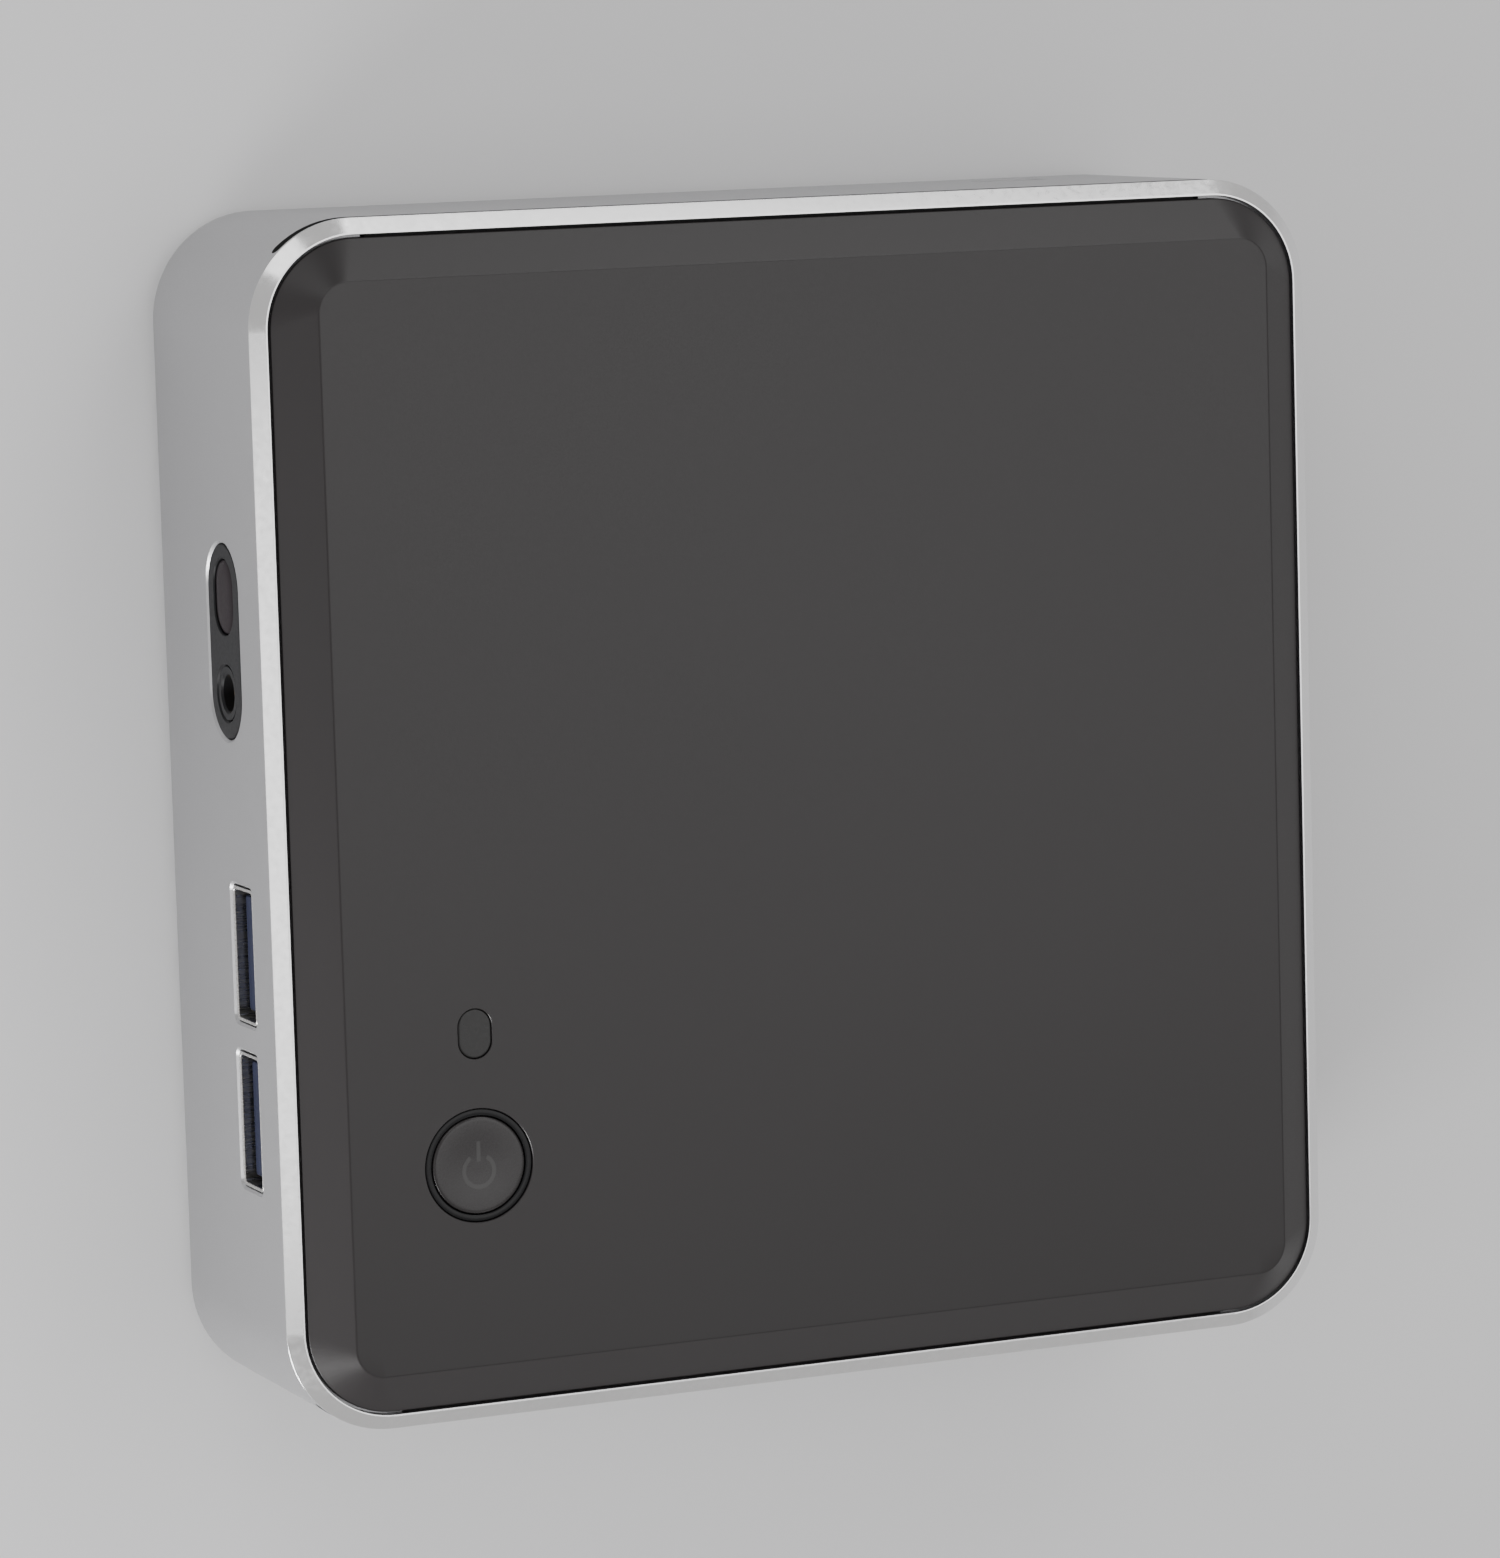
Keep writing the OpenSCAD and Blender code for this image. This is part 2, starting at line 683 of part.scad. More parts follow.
module cold_plate() {
    color([0.72, 0.42, 0.26]) difference() {
        block(cpu_x - 18, cpu_y - 14.5, die_top, [36, 29, pipe_z - die_top]);
        at_cooler_screws() post(0, 0, board_top, 1.4, 6);
    }
}

module cold_plate_screws() {
    color([0.78, 0.78, 0.8]) at_cooler_screws() {
        post(0, 0, board_top, 1.2, pipe_z - board_top);
        post(0, 0, pipe_z, 2.2, 1.4);
    }
}

module heat_pipe() {
    // flattened pipe: up from the processor, round a bend and along under the fins
    bend = 12;
    width = 6;
    start_y = cpu_y - 12;
    color([0.75, 0.45, 0.28]) translate([0, 0, pipe_z]) linear_extrude(pipe_h) {
        translate([cpu_x - width / 2, start_y]) square([width, pipe_y - bend - start_y]);
        intersection() {
            translate([cpu_x - bend, pipe_y - bend]) difference() {
                circle(bend + width / 2);
                circle(bend - width / 2);
            }
            translate([cpu_x - bend, pipe_y - bend]) square(bend + width);
        }
        translate([fin_x, pipe_y - width / 2]) square([cpu_x - bend - fin_x, width]);
        translate([cpu_x, start_y]) circle(width / 2);
    }
}

module fin_stack() {
    low = pipe_z - 0.8;
    thickness = 0.3;
    top = fan_high;
    length = (fin_count - 1) * fin_pitch + thickness;
    notch = 3.1;
    color([0.7, 0.7, 0.72]) {
        for (i = [0 : fin_count - 1]) difference() {
            block(fin_x + i * fin_pitch, fin_y, low, [thickness, fin_depth, top - low + 0.1]);
            block(fin_x + i * fin_pitch - 1, pipe_y - notch, low - 1,
                [3, 2 * notch, pipe_z + pipe_h + 0.05 - low + 1]);
        }
        block(fin_x, fin_y, top, [length, fin_depth, 0.3]);
    }
}

// Plan of the blower: a round chamber with a straight outlet towards the fins
module blower_plan() {
    circle(blower_r);
    translate([-blower_r, 0]) square([2 * blower_r, fin_y - 0.4 - fan_y]);
}

module blower_housing() {
    skin = 1;
    color([0.05, 0.05, 0.05]) difference() {
        union() {
            translate([fan_x, fan_y, fan_low]) linear_extrude(fan_high - 0.6 - fan_low) blower_plan();
            for (ear = blower_ears) post(ear[0], ear[1], fan_low, 3, 1.5);
        }
        translate([fan_x, fan_y, fan_low + 0.7]) linear_extrude(10) {
            circle(blower_r - skin);
            translate([-blower_r + skin, 0]) square([2 * (blower_r - skin), 60]);
        }
        for (ear = blower_ears) post(ear[0], ear[1], fan_low - 1, 1, 4);
        // lower intake holes round the motor
        for (turn = [45 : 90 : 315])
            translate([fan_x, fan_y, 0]) rotate(turn) post(13, 0, fan_low - 1, 4.5, 3);
    }
}

module blower_cover() {
    color([0.7, 0.7, 0.72]) translate([fan_x, fan_y, fan_high - 0.6]) linear_extrude(0.5) difference() {
        blower_plan();
        circle(15);
    }
}

module blower_screws() {
    // spacers on the board, and the screws through the housing's ears
    color([0.78, 0.78, 0.8]) for (ear = blower_ears) {
        post(ear[0], ear[1], board_top, 2, fan_low - board_top);
        post(ear[0], ear[1], fan_low, 0.9, 1.5);
        post(ear[0], ear[1], fan_low + 1.5, 2, 0.9);
    }
}

module fan_impeller() {
    hub_r = 9;
    z = fan_low + 1.3;
    h = fan_high - 0.6 - 0.5 - z;
    lean = 28;
    color([0.06, 0.06, 0.065]) translate([fan_x, fan_y, z]) {
        difference() {
            cylinder(r = hub_r, h = h);
            translate([0, 0, -1]) cylinder(r = hub_r - 1, h = h);
        }
        cylinder(r = 0.7, h = h - 0.5);
        linear_extrude(h - 0.6) for (i = [0 : blade_count - 1]) rotate(i * 360 / blade_count)
            translate([hub_r - 0.6, 0]) rotate(lean) translate([0, -0.35])
                square([impeller_r - hub_r + 0.8, 0.7]);
        linear_extrude(0.6) difference() {
            circle(impeller_r + 0.4);
            circle(impeller_r - 1.4);
        }
    }
}

module fan_stator() {
    z = fan_low + 0.7;
    color([0.5, 0.32, 0.15]) translate([fan_x, fan_y, z]) difference() {
        union() {
            cylinder(r = 3.4, h = 5);
            translate([0, 0, 1]) linear_extrude(3) for (turn = [0 : 40 : 320]) rotate(turn)
                translate([2, -0.9]) square([5, 1.8]);
            cylinder(r = 7, h = 0.5);
        }
        translate([0, 0, -1]) cylinder(r = 0.76, h = 8);
    }
}

module fan_cable() {
    color([0.1, 0.1, 0.1])
        cable([[-40.6, -6, 23.2], [-44, -12, 22.4], [-45.4, -20, 21.6], [-44, -27, 21.2],
               [-40.6, -29, 21.4]], 0.7, [0, 0, 1]);
    color([0.85, 0.84, 0.78]) block(-40.4, -32, board_top, [4.6, 5, 2.9]);
}

// ---------------------------------------------------------------- memory

module memory_sockets() {
    half = 36.4;
    depth = 6;
    ear = 1.6;
    ear_depth = latch_y + 0.5 - memory_y - depth;
    lip = 1.9;                     // plastic below and above each module's edge
    color([0.06, 0.06, 0.065]) difference() {
        union() {
            for (z = module_z) {
                block(memory_x - half, memory_y, z - lip, [2 * half, depth, 2 * lip]);
                for (side = [-1, 1])
                    block(memory_x + side * latch_x - ear, memory_y + depth - fine, z - lip,
                        [2 * ear, ear_depth + fine, 2 * lip]);
            }
            // the front wall carries both sockets up to the board
            block(memory_x - half, memory_y, module_z[1] - lip,
                [2 * half, 1.6, board_z - module_z[1] + lip]);
        }
        for (z = module_z)
            block(memory_x - module_w / 2 - 0.15, memory_y + 2, z - 0.6, [module_w + 0.3, depth, 1.2]);
        for (side = [-1, 1])
            post(memory_x + side * latch_x, latch_y, module_z[1] - 3, latch_pin_r + 0.06, 11);
    }
}

module memory_module(z) {
    y = memory_y + 2.1;
    color([0.03, 0.2, 0.1]) difference() {
        block(memory_x - module_w / 2, y, z - 0.5, [module_w, module_d, 1]);
        for (x = [-1, 1]) post(memory_x + x * module_w / 2, y + notch_y, z - 1, 1.2, 2);
        block(memory_x - 12, y - 1, z - 1, [1.5, 4.5, 2]);
    }
    color([0.05, 0.05, 0.05]) for (i = [0 : 3])
        block(memory_x - 31 + i * 16.4, y + 9, z - 1.6, [12.6, 10.4, 1.15]);
}

module memory_module_upper() {
    memory_module(module_z[0]);
}

module memory_module_lower() {
    memory_module(module_z[1]);
}

// A sprung steel arm beside a module; its nose sits in the side notch and its tab holds the module up
module latch(side, z) {
    arm_t = 0.5;
    arm_d = 21;
    half_h = 1.3;
    nose_y = memory_y + 2.1 + notch_y;
    color([0.8, 0.8, 0.82]) translate([memory_x, 0, 0]) mirror([side < 0 ? 1 : 0, 0, 0]) {
        post(latch_x, latch_y, z - half_h, latch_pin_r, 2 * half_h);
        block(latch_x - arm_t / 2, latch_y, z - half_h, [arm_t, arm_d, 2 * half_h]);
        block(module_w / 2 - 0.7, nose_y - 0.6, z - 0.4, [latch_x - module_w / 2 + 0.7, 1.2, 0.8]);
        block(module_w / 2 - 0.9, latch_y + arm_d - 2.5, z - 1.2, [latch_x - module_w / 2 + 0.9, 1.5, 0.6]);
        block(latch_x, latch_y + arm_d - 0.6, z - half_h, [2.4, 0.6, 2 * half_h]);
    }
}

module latch_upper_left() { latch(-1, module_z[0]); }
module latch_upper_right() { latch(1, module_z[0]); }
module latch_lower_left() { latch(-1, module_z[1]); }
module latch_lower_right() { latch(1, module_z[1]); }

// ---------------------------------------------------------------- storage and radio

card_z = board_z - 2.6;

module card_sockets() {
    color([0.08, 0.08, 0.08]) for (y = [ssd_y, wifi_y]) difference() {
        block(card_socket_x - 3, y - card_w / 2 - 0.4, card_z - 1.6,
            [6.6, card_w + 0.2, board_z - card_z + 1.6]);
        block(card_socket_x - 4, y - card_w / 2 + 0.2, card_z - 0.5, [4.6, card_w - 1, 1]);
    }
}

// A card that plugs into its socket on the right and is held by a screw at its left end
module card(y, length) {
    right = card_socket_x + 0.5;
    color([0.03, 0.1, 0.2]) difference() {
        block(right - length, y - card_w / 2 + 0.4, card_z - 0.4, [length, card_w - 1.4, 0.8]);
        post(right - length, y - 0.3, card_z - 1, 2.6, 2);
    }
}

module storage_card() {
    card(ssd_y, 80);
    color([0.05, 0.05, 0.05]) for (x = [-28, -12, 4, 20])
        block(x - 6, ssd_y - 7, card_z - 1.6, [12, 14, 1.2]);
}

module radio_card() {
    card(wifi_y, 30);
    color([0.7, 0.7, 0.72]) block(15, wifi_y - 8, card_z - 2, [17, 16, 1.6]);
    color([0.8, 0.65, 0.3]) for (y = [-1, 1]) post(34.5, wifi_y + y * 4, card_z - 1.3, 1, 0.9);
}

module card_posts() {
    // stand-off and screw at the free end of each card
    right = card_socket_x + 0.5;
    color([0.78, 0.7, 0.45]) for (c = [[ssd_y, 80], [wifi_y, 30]]) {
        post(right - c[1], c[0] - 0.3, card_z + 0.5, 2.4, board_z - card_z - 0.5);
        post(right - c[1], c[0] - 0.3, card_z - 1.4, 1.2, 2);
        post(right - c[1], c[0] - 0.3, card_z - 1.6, 2.8, 1.1);
    }
}

module antennas() {
    // thin radiators stuck under the top cover, beside the shield
    color([0.75, 0.6, 0.3]) for (x = [-1, 1])
        block(x * 46.6 - 4, -16, lid_inner - 0.3, [8, 34, 0.3]);
}

module antenna_cables() {
    left = -board_size / 2 - 2.8;
    right = board_size / 2 + 2.4;
    color([0.05, 0.05, 0.05]) {
        cable([[34.5, wifi_y + 4, card_z - 1.9], [30, 6, 10.6], [8, 9.5, 10.4], [-20, 9.5, 10.4],
               [-42, 14, 11], [left, 22, 14], [left, 22.4, 20], [left + 0.6, 20, 27], [-50.6, 15, 31],
               [-48, 10, 31.6]], 0.6, [0.2, 1, 0.15]);
        cable([[34.5, wifi_y - 4, card_z - 1.9], [38.5, -11, 10.6], [46, -17, 10.8], [right, -19, 14],
               [right, -19, 20], [right - 0.4, -17, 27], [50.8, -12, 31], [48, -6, 31.6]],
            0.6, [0.2, 1, 0.15]);
    }
}

module coin_cell() {
    color([0.85, 0.78, 0.3]) post(coin_x, coin_y, board_z - 3.7, 10.2, 3.6);
}

module coin_cell_cable() {
    color([0.7, 0.05, 0.05])
        cable([[coin_x - 10.3, coin_y, 16.2], [-34.6, -3.2, 15.6], [-38.4, -6, 15.8], [-41, -8, 16.2]],
            0.5, [0, 0, 1]);
    color([0.85, 0.84, 0.78]) block(-45, -10.4, board_z - 3, [4, 4.6, 3]);
}

chassis();
top_cover();
lid_shield();
bottom_cover();
feet();
cover_screws();
mount_inserts();
rear_panel();
side_vent_mesh();
lock_plate();
power_button();
switch_plunger();
power_switch();
power_light_ring();
drive_light_pipe();
front_bezel();
ir_window();
ir_receiver();
audio_jack();
front_usb_shells();
front_usb_tongues();
dc_jack();
dc_jack_pin();
video_port_shells();
video_port_tongues();
lan_port();
lan_contacts();
rear_usb_shells();
rear_usb_tongues();
mainboard();
board_screws();
board_chips();
board_inductors();
board_capacitors();
processor();
cold_plate();
cold_plate_screws();
heat_pipe();
fin_stack();
blower_housing();
blower_cover();
blower_screws();
fan_impeller();
fan_stator();
fan_cable();
memory_sockets();
memory_module_upper();
memory_module_lower();
latch_upper_left();
latch_upper_right();
latch_lower_left();
latch_lower_right();
card_sockets();
storage_card();
radio_card();
card_posts();
antennas();
antenna_cables();
coin_cell();
coin_cell_cable();
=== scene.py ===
"""Looks of the mini PC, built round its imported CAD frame.

Lengths in this file are millimetres, and raw_mesh() turns them into metres. The case, the covers,
feet, screws, button, lights and sockets are rebuilt here with round edges, and stand for their CAD
nodes. What the case hides keeps its CAD mesh, with its own material.
"""

import json
import math

import bmesh
import bpy
from mathutils import Matrix, Vector


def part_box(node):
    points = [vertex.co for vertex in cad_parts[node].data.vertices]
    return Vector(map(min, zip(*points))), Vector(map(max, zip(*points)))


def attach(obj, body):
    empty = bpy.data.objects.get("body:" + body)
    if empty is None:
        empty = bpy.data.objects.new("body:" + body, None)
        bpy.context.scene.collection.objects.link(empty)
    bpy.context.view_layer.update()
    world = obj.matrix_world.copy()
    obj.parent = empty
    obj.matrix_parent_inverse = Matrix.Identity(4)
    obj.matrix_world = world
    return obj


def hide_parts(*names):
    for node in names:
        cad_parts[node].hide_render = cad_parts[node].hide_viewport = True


MM = 0.001
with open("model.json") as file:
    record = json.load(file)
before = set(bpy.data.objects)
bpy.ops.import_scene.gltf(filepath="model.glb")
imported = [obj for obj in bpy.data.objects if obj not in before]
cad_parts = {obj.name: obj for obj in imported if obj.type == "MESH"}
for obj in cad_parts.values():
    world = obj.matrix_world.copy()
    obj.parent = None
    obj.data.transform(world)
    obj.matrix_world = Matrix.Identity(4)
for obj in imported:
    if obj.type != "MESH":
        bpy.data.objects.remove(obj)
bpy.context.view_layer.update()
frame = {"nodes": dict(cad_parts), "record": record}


def box_mm(node):
    """A CAD node's lowest and highest corner, in millimetres."""
    low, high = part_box(node)
    return low / MM, high / MM


def middle(node):
    low, high = box_mm(node)
    return (low + high) / 2


def middle_of_mouths(node):
    """Height of the middle of USB sockets whose shells have legs, so only their tops tell it."""
    return box_mm(node)[1].z - SHELL_T - USB_MOUTH[1] / 2


# ---- sizes
# Places come from the frame. Radii and thicknesses repeat the CAD source's driving sizes.

# Case: outer size, corner radius, wall, the shelf that carries the top cover
case_low, case_high = box_mm("chassis")
CASE_W, CASE_D = case_high.x - case_low.x, case_high.y - case_low.y
CASE_Z, RIM_Z = case_low.z, case_high.z
FRONT_Y, REAR_Y = case_low.y, case_high.y
CORNER_R = 10.5
WALL = 1.6
SHELF = 1.4
LEDGE_Z = RIM_Z - 1.1

# Top cover: thickness, sloped border, corner radii of its edge and of its flat
lid_low, lid_high = box_mm("top_cover")
LID_W, LID_D, LID_TOP = lid_high.x - lid_low.x, lid_high.y - lid_low.y, lid_high.z
LID_T = 1.8
BEVEL_W = 4.0
LID_R = CORNER_R - WALL - 0.25
FLAT_R = 3.0

# Side vents, security slot, rear opening, corner posts and feet, bracket inserts
VENT_LOW, VENT_HIGH = RIM_Z - 2.8, RIM_Z - 1.3
VENT_RUN = CASE_D / 2 - CORNER_R - 1
LOCK = Vector((0, 33.5, 10.5))
REAR_HALF, REAR_LOW, REAR_HIGH = 46, 4.2, 28.5
POST_R, POST_LOW = 3.4, 3.6
FOOT_R = 5.9
POST = box_mm("feet")[1] - Vector((FOOT_R, FOOT_R, 0))
POSTS = [(x, y) for x in (-POST.x, POST.x) for y in (-POST.y, POST.y)]
INSERT_R = 3.4
INSERT_X = box_mm("mount_inserts")[1].x - INSERT_R

# Button, lights and the front insert
BUTTON = middle("power_button")
RING_R = (box_mm("power_light_ring")[1].x - box_mm("power_light_ring")[0].x) / 2
DRIVE_LIGHT = middle("drive_light_pipe")
BEZEL = middle("front_bezel")
WINDOW = middle("ir_window")
JACK = middle("audio_jack")
JACK_R = 1.8

# Mainboard, cards and memory modules, and where their gold fingers start
BOARD_Z, BOARD_TOP = 18.0, 19.6
CARD_Z = BOARD_Z - 2.6
CARD_FINGERS_X = 39
MODULE_Z = (13.8, 8.8)
MODULE_FINGERS_Y = -43.4
DIE_Z = 20.4

# Sockets
SHELL_T = 0.35
USB_MOUTH = (12.5, 5.1)
USB_Z, REAR_USB_Z = middle_of_mouths("front_usb_shells"), middle("rear_usb_shells").z
FRONT_USB_X, REAR_USB_X = (12.3, 28.5), (-11.4, -27)
SOCKET_Y = box_mm("rear_usb_shells")[1].y
LAN = middle("lan_port")
DC = Vector((36, 0, 12.6))
HDMI, DP = Vector((23, 0, 15.35)), Vector((-39, 0, 15.35))


# ---- materials

class NodeMaterial:
    """A node material with one Principled shader."""

    def __init__(self, name, **settings):
        self.data = bpy.data.materials.new(name)
        self.data.use_nodes = True
        self.tree = self.data.node_tree
        self.tree.nodes.clear()
        self.shader = self.tree.nodes.new("ShaderNodeBsdfPrincipled")
        output = self.tree.nodes.new("ShaderNodeOutputMaterial")
        self.tree.links.new(self.shader.outputs[0], output.inputs[0])
        for key, value in settings.items():
            self.shader.inputs[key.replace("_", " ")].default_value = value

    def add(self, kind, inputs=None, out=0, **settings):
        """Adds a node, and returns one of its outputs. Inputs are numbers, colours or sockets."""
        node = self.tree.nodes.new(kind)
        for key, value in settings.items():
            setattr(node, key, value)
        for key, value in (inputs or {}).items():
            if isinstance(value, bpy.types.NodeSocket):
                self.tree.links.new(value, node.inputs[key])
            else:
                node.inputs[key].default_value = value
        return node.outputs[out]

    def wire(self, socket, name):
        self.tree.links.new(socket, self.shader.inputs[name])

    def place(self, stretch=(1, 1, 1)):
        """The object's own coordinates, in metres."""
        where = self.add("ShaderNodeTexCoord", out="Object")
        return self.add("ShaderNodeMapping", {"Vector": where, "Scale": stretch})

    def noise(self, scale, detail=2.0, stretch=(1, 1, 1)):
        return self.add("ShaderNodeTexNoise",
                        {"Vector": self.place(stretch), "Scale": scale, "Detail": detail})

    def math(self, operation, a, b):
        return self.add("ShaderNodeMath", {0: a, 1: b}, operation=operation)

    def spread(self, value, low, high, start=0.3, end=0.7):
        """Maps start..end to low..high, with its ends held."""
        return self.add("ShaderNodeMapRange", {"Value": value, "From Min": start, "From Max": end,
                                               "To Min": low, "To Max": high})

    def mix(self, factor, a, b):
        colors = {"A": rgba(a), "B": rgba(b)}
        return self.add("ShaderNodeMix", {"Factor": factor, **colors}, out="Result",
                        data_type="RGBA")

    def mix_numbers(self, factor, a, b):
        return self.add("ShaderNodeMix", {"Factor": factor, "A": a, "B": b}, out="Result")

    def bump(self, height, strength, depth=0.0002):
        inputs = {"Height": height, "Strength": strength, "Distance": depth}
        self.wire(self.add("ShaderNodeBump", inputs), "Normal")


def rgba(color):
    return (*color, 1.0) if isinstance(color, tuple) and len(color) == 3 else color


def shaded(color, by):
    return tuple(min(c * by, 1.0) for c in color)


def patchy(m, color, tint, patch):
    """Slow patches in a material's colour, darker and lighter by tint."""
    patches = m.spread(m.noise(patch), 0, 1)
    m.wire(m.mix(patches, shaded(color, 1 - tint), shaded(color, 1 + tint)), "Base Color")


def surface(name, color, roughness=0.4, metallic=0.0, tint=0.05, patch=40.0, fine=3000.0, bump=0.03,
            rough_spread=0.04, stretch=(1, 1, 1), **shader):
    """Slow patches in the colour, and fine grain in the roughness and the surface."""
    m = NodeMaterial(name, Metallic=metallic, **shader)
    patchy(m, color, tint, patch)
    grain = m.noise(fine, 3.0, stretch)
    m.wire(m.spread(grain, roughness - rough_spread, roughness + rough_spread), "Roughness")
    m.bump(grain, bump)
    return m.data


def drawn_metal(name, color, roughness, along):
    """Sheet or wire metal, with fine lines along one axis where rolling or drawing left them."""
    stretch = tuple(0.04 if axis == along else 1.0 for axis in "xyz")
    return surface(name, color, roughness, 1.0, tint=0.04, patch=90, fine=5000, bump=0.04,
                   rough_spread=0.06, stretch=stretch)


def circuit_board(name, mask, trace, zones=()):
    """Solder mask with slightly paler tracks under it, round vias, and zones of other materials.

    A zone is an axis, a comparison and a limit in millimetres, then its colour, roughness and
    metalness.
    """
    m = NodeMaterial(name)
    cells = m.add("ShaderNodeTexVoronoi", {"Vector": m.place((1, 2.2, 1)), "Scale": 260.0},
                  feature="DISTANCE_TO_EDGE", distance="CHEBYCHEV")
    track = m.spread(cells, 1, 0, 0.03, 0.05)
    dots = m.add("ShaderNodeTexVoronoi", {"Vector": m.place(), "Scale": 420.0}, feature="F1")
    via = m.spread(dots, 1, 0, 0.10, 0.14)
    color = m.mix(m.math("MULTIPLY", via, 0.8), m.mix(track, mask, trace), VIA_GOLD)
    roughness, metallic = m.spread(m.noise(300), 0.28, 0.4), 0.0
    relief = m.math("ADD", track, via)
    for axis, comparison, limit, zone_color, zone_roughness, zone_metallic in zones:
        where = m.add("ShaderNodeSeparateXYZ", {"Vector": m.place()}, out=axis)
        inside = m.math(comparison, where, limit * MM)
        patches = m.spread(m.noise(150), 0, 1)
        zone = m.mix(patches, shaded(zone_color, 0.9), shaded(zone_color, 1.1))
        color = m.mix(inside, color, zone)
        roughness = m.mix_numbers(inside, roughness, zone_roughness)
        metallic = m.mix_numbers(inside, metallic, zone_metallic)
        relief = m.mix_numbers(inside, relief, m.noise(6000))
    m.wire(color, "Base Color")
    m.wire(roughness, "Roughness")
    if zones:
        m.wire(metallic, "Metallic")
    m.bump(relief, 0.2, 0.00005)
    return m.data


def anodised():
    """Bead-blasted, clear anodised aluminium: fine dimples, very even colour."""
    m = NodeMaterial("anodised_aluminium", Metallic=1.0)
    patchy(m, (0.44, 0.44, 0.45), 0.015, 18)
    dimples = m.add("ShaderNodeTexVoronoi", {"Vector": m.place(), "Scale": 5200.0},
                    feature="SMOOTH_F1")
    m.wire(m.spread(m.noise(7000), 0.36, 0.46), "Roughness")
    m.bump(dimples, 0.12, 0.00003)
    return m.data


def cover_plastic():
    """Charcoal moulded plastic: satin, with a very fine spark grain."""
    m = NodeMaterial("cover_plastic", Specular_IOR_Level=0.45)
    patchy(m, CHARCOAL, 0.05, 22)
    grain = m.noise(6500, 3.0)
    m.wire(m.spread(grain, 0.30, 0.38), "Roughness")
    m.bump(grain, 0.08, 0.00004)
    return m.data


def chips_below(z):
    """The zone of moulded chips on the lower face of a card or module."""
    return "Z", "LESS_THAN", z, EPOXY, 0.5, 0.0


def fingers(axis, comparison, limit):
    """The zone of a card's gold edge contacts."""
    return axis, comparison, limit, GOLD, 0.25, 1.0


CHARCOAL = (0.0185, 0.0163, 0.017)
GREEN_MASK, GREEN_TRACE = (0.006, 0.045, 0.02), (0.012, 0.085, 0.035)
BLUE_MASK, BLUE_TRACE = (0.005, 0.02, 0.06), (0.01, 0.04, 0.11)
EPOXY, GOLD, VIA_GOLD = (0.022, 0.022, 0.024), (0.85, 0.6, 0.22), (0.45, 0.36, 0.16)
BLACK, SUBSTRATE = (0.02, 0.02, 0.02), (0.03, 0.09, 0.06)

# Where the fan cable's black jacket begins, to the left of all of it, and its pale plug
JACKET_X, PLUG_X = -60, -40.3

MATERIALS = {}


def define(slot, *look, name=None, **more):
    """A plain surface for a slot, named after the slot unless it has a name of its own."""
    MATERIALS[slot] = surface(name or slot, *look, **more)


MATERIALS["case_aluminium"] = anodised()
define("polished", (0.88, 0.88, 0.885), 0.16, 1.0, tint=0.015, fine=1500, bump=0.01,
       name="polished_chamfer")
MATERIALS["cover_plastic"] = cover_plastic()
define("bottom_paint", (0.018, 0.018, 0.019), 0.5, tint=0.1, fine=2600, bump=0.25)
define("foot_rubber", (0.014, 0.014, 0.014), 0.75, tint=0.15, fine=1800, bump=0.15)
define("panel_plastic", (0.017, 0.017, 0.018), 0.48, tint=0.08, fine=4200, bump=0.15)
define("vent_plastic", (0.012, 0.012, 0.012), 0.6, tint=0.1, fine=4200, bump=0.1)
define("button_plastic", CHARCOAL, 0.28, fine=6500, bump=0.04)
define("light_pipe", (0.008, 0.008, 0.009), 0.26, tint=0.1, bump=0.01, Specular_IOR_Level=0.25,
       name="smoked_light_pipe")
define("bezel_plastic", (0.012, 0.012, 0.013), 0.4, tint=0.1, bump=0.015, Specular_IOR_Level=0.08)
define("ir_plastic", (0.013, 0.009, 0.011), 0.36, tint=0.1, bump=0.005, Specular_IOR_Level=0.06)
define("black_plastic", BLACK, 0.42, tint=0.1, fine=3600, bump=0.08)
# The USB bars' blue is darkened to a deep navy: painted shade for the shadow inside the sockets.
define("blue_plastic", (0.009, 0.012, 0.034), 0.45, tint=0.06, fine=3600, bump=0.05,
       Specular_IOR_Level=0.2)
MATERIALS["socket_steel"] = drawn_metal("nickel_plate", (0.5, 0.495, 0.485), 0.28, "y")
MATERIALS["sheet_steel"] = drawn_metal("zinc_plate", (0.58, 0.59, 0.6), 0.36, "x")
define("screw_steel", (0.6, 0.6, 0.59), 0.26, 1.0, tint=0.05, fine=2500, bump=0.04)
define("insert_brass", (0.68, 0.48, 0.2), 0.28, 1.0, tint=0.06, fine=2500, bump=0.05)
define("gold_contacts", GOLD, 0.2, 1.0, tint=0.04, fine=2500, bump=0.02, name="gold_plate")
define("chip_epoxy", EPOXY, 0.5, tint=0.15, patch=120, fine=9000, bump=0.12)
define("chip_substrate", SUBSTRATE, 0.3, tint=0.1, fine=900, bump=0.05)
define("ferrite", (0.08, 0.08, 0.085), 0.6, tint=0.15, fine=3000, bump=0.3)
define("capacitor_can", (0.6, 0.6, 0.61), 0.3, 1.0, tint=0.05, bump=0.05)
define("copper", (0.75, 0.35, 0.2), 0.34, 1.0, tint=0.12, patch=70, fine=1600, bump=0.06)
MATERIALS["fin_aluminium"] = drawn_metal("fin_aluminium", (0.7, 0.7, 0.71), 0.3, "z")
define("cable_jacket", BLACK, 0.5, tint=0.1, fine=1500, bump=0.05)
define("cable_red", (0.35, 0.015, 0.015), 0.45, tint=0.1, fine=1500, bump=0.05)
